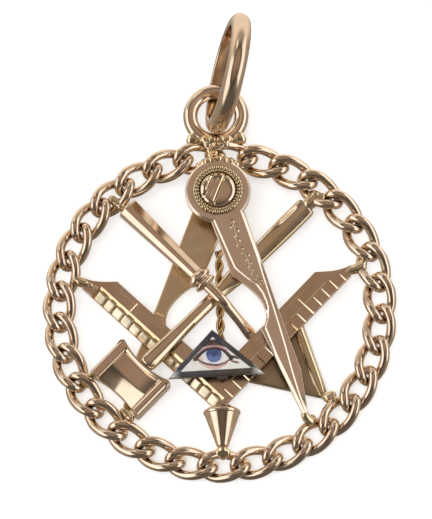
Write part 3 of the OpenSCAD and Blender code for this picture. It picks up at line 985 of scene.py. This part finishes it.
left_xs = [BAND_W / 2 * (1 - cos(pi * k / 12)) - GAVEL_LEN / 2 for k in range(13)]
left_xs += [(BAND_W - GAVEL_LEN / 2) * (1 - k / 12) for k in range(1, 12)]
gavel_xs = left_xs + [0.0] + [-x for x in reversed(left_xs)]
keep(shaded(lofted("gavel_block", [gavel_ring(x) for x in gavel_xs], rose_gold,
                   place=gavel_place), 50), "rose_gold", "gavel_head")

# %% [markdown]
# The handles are round bars whose thickness changes along their length. A table gives the
# distance, the height and the half sizes at a few places, and a smooth curve through its rows
# fills in the rest. The gavel's handle has a section of its own, flat on top and sloped to the
# lower right, which a second table gives; the trowel's grip has eight filed faces.

# %% Helpers for bars
def smooth_rows(rows, step):
    """Rows of a table at even steps, on a curve that passes through the given rows."""
    out = []
    for i in range(len(rows) - 1):
        p0, p1, p2, p3 = (rows[min(max(k, 0), len(rows) - 1)] for k in range(i - 1, i + 3))
        count = max(1, round((p2[0] - p1[0]) / step))
        for t in (k / count for k in range(count)):
            out.append([p1[0] + (p2[0] - p1[0]) * t] + [
                0.5 * (2 * p1[c] + (p2[c] - p0[c]) * t
                       + (2 * p0[c] - 5 * p1[c] + 4 * p2[c] - p3[c]) * t * t
                       + (3 * p1[c] - p0[c] - 3 * p2[c] + p3[c]) * t ** 3)
                for c in range(1, len(p1))])
    return out + [list(rows[-1])]


def along(start, end, base=laid):
    """A bar's own place, its x axis from start to end."""
    d = Vector(end) - Vector(start)
    return moved(base, *start, 0) @ Matrix.Rotation(atan2(d.y, d.x), 4, "Z")


def bar(name, rows, step, sides, material, place, fullness=2.0):
    """Bar of oval sections along x, from a table of distance, height and two half sizes."""
    power = 2 / fullness
    rings = [[(x, copysign(abs(c) ** power, c) * half_w,
               height + copysign(abs(s) ** power, s) * half_t) for c, s in circle(sides)]
             for x, height, half_w, half_t in smooth_rows(rows, step)]
    return shaded(lofted(name, rings, material, place=place), 60)


# %% Make the gavel's handle
HANDLE_START, HANDLE_END = (-6.24, -4.92), (7.52, 9.0)
HANDLE_CHANGE, WORN_AT, WORN_LEN, WORN_DEPTH = (8.8, 10.4), 17.7, 1.5, 0.18
handle_len = (Vector(HANDLE_END) - Vector(HANDLE_START)).length
# Columns: distance, height, half width, half thickness
handle_rows = [(0.0, 1.00, 0.30, 0.15), (0.06, 1.00, 0.54, 0.30), (0.25, 1.0, 0.68, 0.40),
               (1.2, 0.95, 0.74, 0.43), (3.0, 0.84, 0.66, 0.40), (5.0, 0.72, 0.57, 0.38),
               (9.1, 0.47, 0.58, 0.39), (9.8, 0.43, 0.66, 0.41),
               (10.6, 0.38, 0.77, 0.42), (14.2, 0.18, 0.83, 0.45), (17.4, -0.01, 0.88, 0.48),
               (handle_len - 0.3, -0.12, 0.86, 0.48), (handle_len - 0.08, -0.13, 0.78, 0.44),
               (handle_len, -0.13, 0.55, 0.32)]
# Columns: place across the handle, from -1 at the lower right to 1, the height there near the
# head and near the border, from -1 to 1, and how far the wear reaches
handle_section = [(1.0, -0.30, -0.30, 0), (0.97, 0.30, 0.35, 0), (0.86, 0.70, 0.76, 0.72),
                  (0.64, 0.92, 0.95, 1.0), (0.30, 1.0, 1.0, 0), (-0.05, 0.97, 0.97, 0),
                  (-0.33, 0.84, 0.84, 0), (-0.66, 0.50, 0.63, 0), (-0.92, 0.05, 0.36, 0),
                  (-1.0, -0.40, -0.40, 0), (-0.80, -0.95, -0.95, 0), (0.0, -1.0, -1.0, 0),
                  (0.80, -0.95, -0.95, 0)]


def handle_ring(x, height, half_w, half_t):
    """Section of the gavel's handle, worn lower on its upper left near the end."""
    far = min(1.0, max(0.0, (x - HANDLE_CHANGE[0]) / (HANDLE_CHANGE[1] - HANDLE_CHANGE[0])))
    worn = WORN_DEPTH * max(0.0, 1 - ((x - WORN_AT) / WORN_LEN) ** 4)
    rows = [(k, v, h + (g - h) * far - worn * reach)
            for k, (v, h, g, reach) in enumerate(handle_section + handle_section[:1])]
    return [(x, v * half_w, height + h * half_t) for _, v, h in smooth_rows(rows, 0.25)[:-1]]


keep(shaded(lofted("gavel_bar", [handle_ring(*row) for row in smooth_rows(handle_rows, 0.35)],
                   handle_gold, place=along(HANDLE_START, HANDLE_END)), 50),
     "yellow_gold", "gavel_handle")

# %% [markdown]
# The trowel has a grip with eight flat faces that widens towards the border, a turned ferrule
# shaped like a knuckle, and a thin neck that bends down to the blade behind the other tools.

# %% Make the trowel's handle
trowel_place = along((-7.60, 8.95), (-1.08, 1.90))
# Columns of all but the section: distance, height, half width, half thickness
grip_rows = [(0.0, 0.45, 0.80, 0.78), (0.14, 0.46, 0.93, 0.90), (8.50, 1.25, 0.60, 0.60)]
knuckle_rows = [(8.30, 1.23, 0.50, 0.50), (8.38, 1.25, 0.72, 0.66), (8.50, 1.27, 0.88, 0.76),
                (8.66, 1.28, 1.00, 0.82), (8.86, 1.29, 1.04, 0.84), (9.02, 1.29, 0.96, 0.80),
                (9.14, 1.29, 0.74, 0.66), (9.22, 1.30, 0.72, 0.62), (9.34, 1.31, 0.88, 0.70),
                (9.48, 1.33, 0.97, 0.74), (9.62, 1.35, 0.92, 0.66), (9.72, 1.37, 0.66, 0.52),
                (9.80, 1.38, 0.48, 0.42)]
neck_rows = [(9.6, 1.38, 0.50, 0.42), (10.4, 1.40, 0.48, 0.42), (11.5, 1.36, 0.46, 0.42),
             (12.2, 1.14, 0.43, 0.40), (12.8, 0.78, 0.41, 0.38), (13.4, 0.42, 0.41, 0.35),
             (14.0, 0.06, 0.43, 0.31), (14.6, -0.30, 0.48, 0.27), (15.0, -0.46, 0.50, 0.25),
             (15.5, -0.50, 0.50, 0.25), (16.55, -0.50, 0.50, 0.25)]
# Columns: place across the grip, from -1 at the lower left to 1, and height from -1 to 1
grip_section = [(1.0, -0.35), (0.96, 0.40), (0.12, 0.98), (-0.36, 0.98), (-0.86, 0.52),
                (-1.0, -0.30), (-0.42, -0.98), (0.42, -0.98)]

grip_rings = [[(x, v * w, height + h * t) for v, h in grip_section]
              for x, height, w, t in grip_rows]
grip = rounded(lofted("grip", grip_rings, rose_gold, place=trowel_place), 0.06, segments=3,
               angle=20)
knuckle = bar("knuckle", knuckle_rows, 0.04, 32, rose_gold, trowel_place, fullness=2.3)
neck = bar("neck", neck_rows, 0.15, 28, rose_gold, trowel_place)
keep(joined("trowel_grip", grip, knuckle, neck), "rose_gold", "trowel_handle")

# %% [markdown]
# The blade is a thin plate behind the other tools, and little more than its right edge shows.
# That edge is thick and round, so a bar of its own, which fades out at both ends, is laid
# along it. A bar is easier to shape than a bend in the plate.

# %% Make the trowel's blade
BLADE_Z, BLADE_T = -0.75, 0.50
blade_place = moved(laid, 0, 0, BLADE_Z)
# The blade's gold is painted darker than the rest, as shade under the tools above it
blade = plate("trowel_plate", [(1.35, -5.85), (8.86, -7.72), (8.93, -7.55), (6.62, -0.20)],
              blade_gold, BLADE_T, blade_place, 0.10)
# Columns: distance down the right edge, height, half width, half thickness
roll_rows = [(0.0, 0.28, 0.30, 0.20), (0.15, 0.36, 0.40, 0.28), (1.0, 0.40, 0.46, 0.34),
             (6.0, 0.40, 0.44, 0.34), (7.3, 0.34, 0.30, 0.26), (7.55, 0.28, 0.16, 0.16)]
roll = bar("roll", roll_rows, 0.3, 24, yellow_gold,
           along((6.12, -0.42), (8.46, -7.60), blade_place))
keep(joined("trowel_plate", rounded(blade, 0.03, angle=20), roll),
     "yellow_gold", "trowel_blade")

# %% [markdown]
# The plumb line is two thin wires twisted together, with painted shade dark between the strands.
# Each strand is a helix about the line's own axis, half a turn apart, so Geometry Nodes bends one
# straight curve twice and gives both the same round section.

# %% Make the plumb line
def twist_tree():
    """Two strands wound round the z axis, from 0 to Length."""
    tree, given = new_tree("twisted_pair", {
        "Length": 9.98, "Strand": 0.38, "Offset": 0.19, "Pitch": 2.6, "Points": 220,
        "Sides": 12, "Material": None})
    line = add(tree, "GeometryNodeCurvePrimitiveLine",
               {"Start": (0, 0, 0), "End": xyz(0.0, 0.0, given["Length"])})
    fine = add(tree, "GeometryNodeResampleCurve", {"Curve": line, "Count": given["Points"]})
    height = add(tree, "ShaderNodeSeparateXYZ", {0: add(tree, "GeometryNodeInputPosition")},
                 output=2)
    turn = height * (2 * pi) / given["Pitch"]
    both = tree.nodes.new("GeometryNodeJoinGeometry")
    for phase in (0.0, pi):
        strand = add(tree, "GeometryNodeSetPosition", {
            "Geometry": fine, "Position": polar(given["Offset"], turn + phase, height)})
        feed(both, {0: tube(strand, given["Sides"], given["Strand"], caps=True)})
    return close_tree(Term(both.outputs[0]), given["Material"])


# Painted shade: a strong corner brown darkens the gaps between the strands
line_gold = gold("line_gold", (0.84, 0.65, 0.38), (0.62, 0.43, 0.22), 0.18, shade_and_tarnish=0.97)
line_place = moved(laid, 0.05, 5.25, -0.37) @ spin(90, "X")
keep(shaded(grown("twisted_line", twist_tree(), {"Material": line_gold}, line_place), 60),
     "yellow_gold", "plumb_line")

# %% [markdown]
# The bob was turned on a lathe, so it is one profile spun about its own axis: a button on top,
# a narrow groove, a round shoulder and a long cone that ends blunt on the border.

# %% Make the bob
# Columns: radius, distance below the top
bob_rows = [(0.0002, 0), (0.60, 0), (0.76, 0.03), (0.80, 0.09), (0.77, 0.15), (0.70, 0.19),
            (0.72, 0.22), (0.98, 0.24), (1.24, 0.30), (1.44, 0.42), (1.53, 0.52), (1.55, 0.62),
            (1.54, 0.70), (1.49, 0.78), (1.44, 0.82), (0.52, 3.40), (0.47, 3.50), (0.38, 3.57),
            (0.20, 3.60), (0.0002, 3.60)]
bob_place = moved(laid, 0.03, -8.40, 0.80) @ spin(90, "X")
keep(shaded(lathed("turned_bob", bob_rows, rose_gold, bob_place), 50), "rose_gold", "plumb_bob")

# %% [markdown]
# The eye sits in a dark silver frame, which has gone blue-grey with age. Its edges are painted
# pale, partly as rubbed silver and partly as a painted highlight, and its two lower tips are
# painted near white as a highlight. Its material mixes two tarnish tints by noise, and the Bevel
# node's softened normal tells the shader where an edge is, so the pale follows every edge by
# itself.

# %% Make the dark frame of the eye
EYE_CORNERS = [Vector((-4.41, -6.14)), Vector((3.68, -5.82)), Vector((-0.66, -2.05))]
EYE_Z, EYE_TOP, EYE_RIM, EYE_RECESS, SIDE_STEPS = 0.95, 1.55, 0.43, 0.28, 36
TIP_REACH, TIP_SLOPE = 1.15, 0.62


def dark_silver_finish():
    material, tree, shader = new_material("dark_silver")
    grain = mapped_noise(tree, (2600, 2600, 2600), 4.0)
    cloud = mapped_noise(tree, (700, 700, 700), 5.0)
    warm = mapped_noise(tree, (260, 260, 260), 2.0)
    base = mixed(ranged(cloud, 0.35, 0.65, 0, 1), (0.085, 0.095, 0.12), (0.20, 0.20, 0.205))
    base = mixed(ranged(warm, 0.5, 0.75, 0, 0.7), base, (0.16, 0.12, 0.08))
    soft = add(tree, "ShaderNodeBevel", {"Radius": 0.07 * MM}, samples=6)
    plain = add(tree, "ShaderNodeNewGeometry", output="Normal")
    same = add(tree, "ShaderNodeVectorMath", {0: soft, 1: plain}, output="Value",
               operation="DOT_PRODUCT")
    # Painted highlight and wear: every edge is painted pale, partly as rubbed silver, partly as a
    # highlight
    base = mixed(ranged(same, 0.99, 0.90, 0, 0.85), base, (0.55, 0.53, 0.50))
    spot = add(tree, "ShaderNodeTexCoord", output="Object")
    middle = laid @ Vector((-0.50, -4.90, EYE_TOP))
    away = add(tree, "ShaderNodeVectorMath", {0: spot, 1: middle}, output="Value",
               operation="DISTANCE")
    # Painted highlight: the two lower tips, far from the middle, are painted near white
    tips = ranged(away, 3.1 * MM, 3.9 * MM, 0, 1) * ranged(grain, 0.35, 0.6, 0.6, 1.0)
    feed(shader, {"Base Color": mixed(tips, base, (0.85, 0.84, 0.81)), "Metallic": 0.75,
                  "Roughness": ranged(grain, 0.3, 0.7, 0.24, 0.5),
                  "Normal": bumped(grain, 0.35, 0.02)})
    return material


def triangle_ring(width, z, unevenness=0.0):
    """The triangle drawn in by a width; its sides wander a little and its tips are filed down."""
    corners = inset(EYE_CORNERS, width)
    ring = []
    for a, b in zip(corners, corners[1:] + corners[:1]):
        side = Vector((-(b - a).y, (b - a).x)).normalized()
        for k in range(SIDE_STEPS):
            p = a.lerp(b, k / SIDE_STEPS)
            wander = noise(Vector((p.x * 1.3, p.y * 1.3, width * 3))) if k else 0.0
            from_tip = min((p - tip).length for tip in EYE_CORNERS[:2])
            filed = z - TIP_SLOPE * max(0.0, TIP_REACH - from_tip)
            ring.append((*(p + side * unevenness * wander),
                         max(filed, EYE_Z + 0.03 + 0.1 * (z - EYE_Z)) if z > EYE_Z else z))
    return ring


dark_silver = dark_silver_finish()
# Columns: how far drawn in, height and unevenness
frame_rings = [triangle_ring(*row) for row in (
    (0.0, EYE_Z), (0.0, EYE_TOP - 0.07), (0.11, EYE_TOP, 0.02), (0.38, EYE_TOP, 0.05),
    (EYE_RIM, EYE_TOP - 0.07, 0.02), (EYE_RIM, EYE_TOP - EYE_RECESS))]
eye_frame = rounded(lofted("eye_frame", frame_rings, dark_silver), 0.03, angle=20)
post_rows = [(0.0002, 0.0), (0.34, 0.0), (0.46, 0.10), (0.50, 0.26), (0.47, 0.42), (0.40, 0.58),
             (0.36, 0.66), (0.0002, 0.66)]
post = shaded(lathed("post", post_rows, dark_silver, moved(laid, 0.13, -5.72, 0.33), 32), 60)
keep(joined("eye_frame", eye_frame, post), "dark_silver", "eye_setting")

# %% [markdown]
# The eye is painted on white enamel and fired. Each stroke of the brush is a curve with a
# width that swells in its middle. The plaque is a fine net of small triangles, and each of its
# points asks how far it is from every stroke and takes the colour of what covers it last.

# %% Name the strokes of the painted eye
IRIS_AT, EYE_UNIT = (-0.54, -4.22), (0.5475, 0.5696)
ENAMEL_TINT, SCLERA, SHADE_BLUE = (0.84, 0.84, 0.76), (0.88, 0.88, 0.87), (0.50, 0.56, 0.72)
DARK_BROWN, RED_BROWN, PLUM = (0.030, 0.014, 0.016), (0.17, 0.035, 0.040), (0.11, 0.035, 0.060)
PEACH, PINK = (0.66, 0.38, 0.30), (0.50, 0.22, 0.25)
IRIS_BLUE, IRIS_PALE, PUPIL_BLUE = (0.030, 0.070, 0.25), (0.12, 0.19, 0.42), (0.010, 0.016, 0.08)


def smooth_line(*points, count=10):
    """A curve through points, as a list of close points."""
    rows = [(i, *p) for i, p in enumerate(points)]
    return [Vector(row[1:]) for row in smooth_rows(rows, 1 / count)]


upper_lid = smooth_line((-2.85, -0.62), (-1.95, 0.22), (-1.15, 0.72), (0.05, 0.95),
                        (1.25, 0.68), (2.05, 0.05), (2.62, -0.58))
lower_lid = smooth_line((-2.75, -0.62), (-1.55, -1.22), (-0.55, -1.52), (0.45, -1.56),
                        (1.45, -1.33), (2.55, -0.68))
crease = smooth_line((-2.25, 0.55), (-1.05, 1.02), (0.05, 1.26), (1.25, 1.02), (2.05, 0.55))
brow = smooth_line((-2.25, 0.95), (-1.45, 1.48), (-0.5, 1.80), (0.6, 1.78), (1.45, 1.50),
                   (2.0, 1.15))
below_lid = smooth_line((-2.3, -1.15), (-0.6, -1.86), (0.6, -1.90), (2.0, -1.30))
above_crease = smooth_line((-1.2, 1.42), (-0.3, 1.52), (0.8, 1.46))
upper_tail = smooth_line((2.45, -0.35), (3.1, -0.42), (3.75, -0.72))
lower_tail = smooth_line((2.45, -0.95), (3.1, -1.15), (3.75, -1.35))
# Columns: curve, half width at its ends and in its middle, softness, colour, strength
strokes = [(below_lid, 0.06, 0.34, 0.24, PEACH, 0.75), (crease, 0.09, 0.24, 0.18, PINK, 0.85),
           (brow, 0.13, 0.46, 0.14, DARK_BROWN, 0.97),
           (above_crease, 0.04, 0.17, 0.12, PLUM, 0.75), (lower_lid, 0.12, 0.16, 0.08, PLUM, 0.94),
           (upper_lid, 0.34, 0.20, 0.10, DARK_BROWN, 0.97),
           (upper_tail, 0.07, 0.20, 0.08, DARK_BROWN, 0.95),
           (lower_tail, 0.06, 0.16, 0.08, RED_BROWN, 0.9)]
print("Strokes of the brush:", len(strokes))


# %% [markdown]
# A point starts with the enamel's own tint. Between the lids come the white and the iris, and
# then every stroke in the order in which it was painted, each with a soft edge.

# %% Work out the painted colour at a point
def near_stroke(p, path):
    """Distance to a path and the place along it, from 0 to 1."""
    best, place = 1e9, 0.0
    for i, (a, b) in enumerate(zip(path, path[1:])):
        t = min(1.0, max(0.0, (p - a).dot(b - a) / (b - a).length_squared))
        away = (p - a - (b - a) * t).length
        if away < best:
            best, place = away, (i + t) / (len(path) - 1)
    return best, place


def cover(edge, softness):
    """1 well inside an edge and 0 outside it; edge is positive inside."""
    t = min(1.0, max(0.0, 0.5 + edge / softness))
    return t * t * (3 - 2 * t)


def height_at(path, x):
    for a, b in zip(path, path[1:]):
        if a.x <= x <= b.x:
            return a.y + (b.y - a.y) * (x - a.x) / max(1e-6, b.x - a.x)
    return None


def blend(a, b, amount):
    return tuple(u + (v - u) * amount for u, v in zip(a, b))


def painted(x, y):
    """Colour of the painted eye at a place in the drawing plane."""
    p = Vector(((x - IRIS_AT[0]) / EYE_UNIT[0], (y - IRIS_AT[1]) / EYE_UNIT[1]))
    shake = Vector((p.x * 2.1, p.y * 2.1, 0.7))
    p += Vector((noise(shake), noise(shake + Vector((5, 0, 0))))) * 0.07
    colour = blend(ENAMEL_TINT, SCLERA, 0.5 + 0.5 * noise(shake * 0.6))
    top, bottom = height_at(upper_lid, p.x), height_at(lower_lid, p.x)
    if top is not None and bottom is not None:
        white = blend(SCLERA, SHADE_BLUE, 0.55 * cover(1.40 - p.length, 0.5))
        white = blend(white, PEACH, 0.6 * cover(-1.75 - p.x, 0.8))
        iris = blend(IRIS_BLUE, IRIS_PALE, cover(-p.y - 0.15 + 0.25 * noise(p.to_3d() * 3), 0.7))
        iris = blend(iris, PUPIL_BLUE, 0.7 * cover(0.42 - (p - Vector((0, 0.1))).length, 0.4))
        iris = blend(iris, PUPIL_BLUE, 0.7 * cover(p.length - 1.05, 0.18))
        white = blend(white, iris, cover(1.16 - p.length, 0.09))
        colour = blend(colour, white, cover(min(top - p.y, p.y - bottom), 0.12))
    for path, thin, thick, softness, tint, strength in strokes:
        away, place = near_stroke(p, path)
        half = thin + (thick - thin) * sin(pi * place)
        colour = blend(colour, tint, strength * cover(half - away, softness))
    return colour


# %% [markdown]
# The net's colours are stored as a point attribute, which the enamel's material reads. A clear
# coat gives the fired gloss, and fine noise gives the pits and the faint greying of age.

# %% Make the enamel plaque
PLAQUE_TOP, PLAQUE_T, PLAQUE_NET, PLAQUE_FALL = 1.57, 0.27, 150, 0.03


def enamel_finish():
    material, tree, shader = new_material("painted_enamel")
    paint = add(tree, "ShaderNodeAttribute", output="Color", attribute_name="painted")
    age = mapped_noise(tree, (1500, 1500, 1500), 5.0)
    feed(shader, {"Base Color": mixed(ranged(age, 0.45, 0.75, 0, 0.22), paint, (0.42, 0.38, 0.30)),
                  "Roughness": 0.28, "Coat Weight": 0.5, "Coat Roughness": 0.08,
                  "Normal": bumped(age, 0.15, 0.01)})
    return material


def plaque_net(n):
    """Points and faces of the plaque: a net of triangles on top, walls and a bottom."""
    a, b, c = inset(EYE_CORNERS, EYE_RIM + 0.03)
    points, number = [], {}
    for i, j in ((i, j) for i in range(n + 1) for j in range(n + 1 - i)):
        p = a + (b - a) * (i / n) + (c - a) * (j / n)
        edge = min(i, j, n - i - j) / n
        number[i, j] = len(points)
        points.append((p.x, p.y, PLAQUE_TOP - PLAQUE_FALL * (1 - min(1.0, edge * 14)) ** 2))
    faces = []
    for i, j in ((i, j) for i in range(n) for j in range(n - i)):
        faces.append((number[i, j], number[i + 1, j], number[i, j + 1]))
        if i + j < n - 1:
            faces.append((number[i + 1, j], number[i + 1, j + 1], number[i, j + 1]))
    rim = ([number[i, 0] for i in range(n)] + [number[n - j, j] for j in range(n)]
           + [number[0, n - j] for j in range(n)])
    first, m = len(points), len(rim)
    points += [(points[k][0], points[k][1], PLAQUE_TOP - PLAQUE_T) for k in rim]
    for k in range(m):
        l = (k + 1) % m
        faces.append((rim[k], first + k, first + l, rim[l]))
    faces.append(tuple(first + k for k in reversed(range(m))))
    return points, faces


net_points, net_faces = plaque_net(PLAQUE_NET)
plaque = new_piece("painted_plaque", net_points, net_faces, enamel_finish())
paint = plaque.data.attributes.new("painted", "FLOAT_COLOR", "POINT")
for k, (x, y, z) in enumerate(net_points):
    paint.data[k].color = (*painted(x, y), 1.0)
plaque.data.shade_smooth()
plaque.data.set_sharp_from_angle(angle=radians(40))
keep(plaque, "enamel", "enamel_plaque")

# %% [markdown]
# Every tool is soldered to the border, and the solder has run into small rounded puddles round
# the joints. Metaballs melt together just as solder does: a few balls of different sizes are
# placed at each joint and turned into one smooth mesh.

# %% Melt the solder
BALL_SWELL, BALL_THRESHOLD, BALL_FINENESS = 1.45, 0.30, 0.07
solder_gold = gold("solder_gold", (0.95, 0.82, 0.57), (0.88, 0.70, 0.44), 0.15, shade_and_tarnish=0.3)
# Columns: x, y, z and radius of a ball, joint by joint
tool_drops = [
    (-8.10, 9.10, 0.15, 0.38), (-8.45, 9.45, 0.05, 0.42), (-8.80, 9.75, 0.10, 0.38),
    (-7.95, 9.70, -0.05, 0.34),
    (-10.30, 2.08, 0.05, 0.30), (-10.75, 2.28, 0.05, 0.34), (-11.20, 2.48, 0.05, 0.40),
    (-11.60, 2.65, 0.1, 0.42), (-11.95, 2.95, 0.1, 0.36),
    (10.75, 3.10, 0.0, 0.34), (11.15, 3.28, 0.02, 0.40), (11.55, 3.38, 0.05, 0.45),
    (11.95, 3.50, 0.1, 0.42), (12.1, 3.9, 0.1, 0.32),
    (7.60, 9.05, -0.05, 0.50), (7.95, 9.35, -0.02, 0.58), (8.20, 9.75, 0.0, 0.52),
    (8.55, 9.25, 0.05, 0.42), (8.75, 9.65, 0.1, 0.36), (7.9, 9.9, 0.0, 0.36),
    (-11.00, -5.70, 0.35, 0.42), (-11.35, -5.95, 0.20, 0.38), (-11.1, -6.2, 0.15, 0.32),
    (-8.10, -8.45, -0.35, 0.36), (-7.85, -8.75, -0.35, 0.40), (-7.55, -9.1, -0.25, 0.34),
    (6.90, -9.35, 0.80, 0.34), (7.05, -9.60, 0.62, 0.38), (7.30, -9.80, 0.40, 0.42),
    (7.45, -9.50, 0.1, 0.38), (8.70, -7.50, -0.25, 0.40), (8.95, -7.70, -0.15, 0.45),
    (9.20, -7.45, -0.05, 0.36), (9.30, -7.90, 0.0, 0.34),
    (0.05, -12.05, 0.62, 0.36), (-0.25, -12.30, 0.40, 0.40), (0.35, -12.30, 0.40, 0.36),
    (0.05, -12.55, 0.25, 0.36)]
foot_drops = [(side * x, y, z, r) for side in (-1, 1) for x, y, z, r in (
    (1.75, 15.35, 0.1, 0.42), (1.95, 15.05, 0.1, 0.46), (2.15, 14.80, 0.05, 0.38),
    (1.55, 14.75, 0.1, 0.40), (1.0, 14.6, 0.1, 0.34))]
head_drops = [
    (-0.95, 14.78, 0.38, 0.40), (-0.35, 14.68, 0.42, 0.44), (0.35, 14.68, 0.42, 0.44),
    (0.95, 14.78, 0.38, 0.40), (-0.75, 14.28, 0.45, 0.36), (0.0, 14.20, 0.50, 0.38),
    (0.75, 14.28, 0.45, 0.36), (-0.55, 13.75, 0.52, 0.32), (-0.50, 13.30, 0.60, 0.30),
    (-1.45, 12.35, 0.75, 0.34), (-1.00, 12.55, 0.80, 0.42), (-0.45, 12.70, 0.85, 0.38),
    (0.10, 12.78, 0.90, 0.44), (0.65, 12.75, 0.90, 0.38), (1.15, 12.62, 0.82, 0.42),
    (1.60, 12.40, 0.75, 0.34), (-0.35, 12.70, 1.30, 0.36), (0.15, 12.74, 1.30, 0.34),
    (-0.80, 12.62, 1.25, 0.30), (0.65, 12.66, 1.28, 0.30), (1.15, 12.52, 1.20, 0.30),
    (-0.25, 13.05, 1.05, 0.32), (-0.15, 13.40, 0.85, 0.30)]


def melted(name, drops, material):
    """Metaballs in millimetres, turned into a mesh and laid in place."""
    data = bpy.data.metaballs.new(name)
    data.resolution = data.render_resolution = BALL_FINENESS
    data.threshold = BALL_THRESHOLD
    for x, y, z, radius in drops:
        ball = data.elements.new()
        ball.co = (x, y, z)
        ball.radius = radius * BALL_SWELL
    source = linked(name + "_drops", data)
    depsgraph = bpy.context.evaluated_depsgraph_get()
    mesh = bpy.data.meshes.new_from_object(source.evaluated_get(depsgraph))
    bpy.data.objects.remove(source)
    mesh.transform(laid)
    mesh.materials.clear()
    mesh.materials.append(material)
    mesh.shade_smooth()
    return turn_outward(linked(name, mesh))


keep(melted("solder_puddles", tool_drops + foot_drops + head_drops, solder_gold), "yellow_gold")
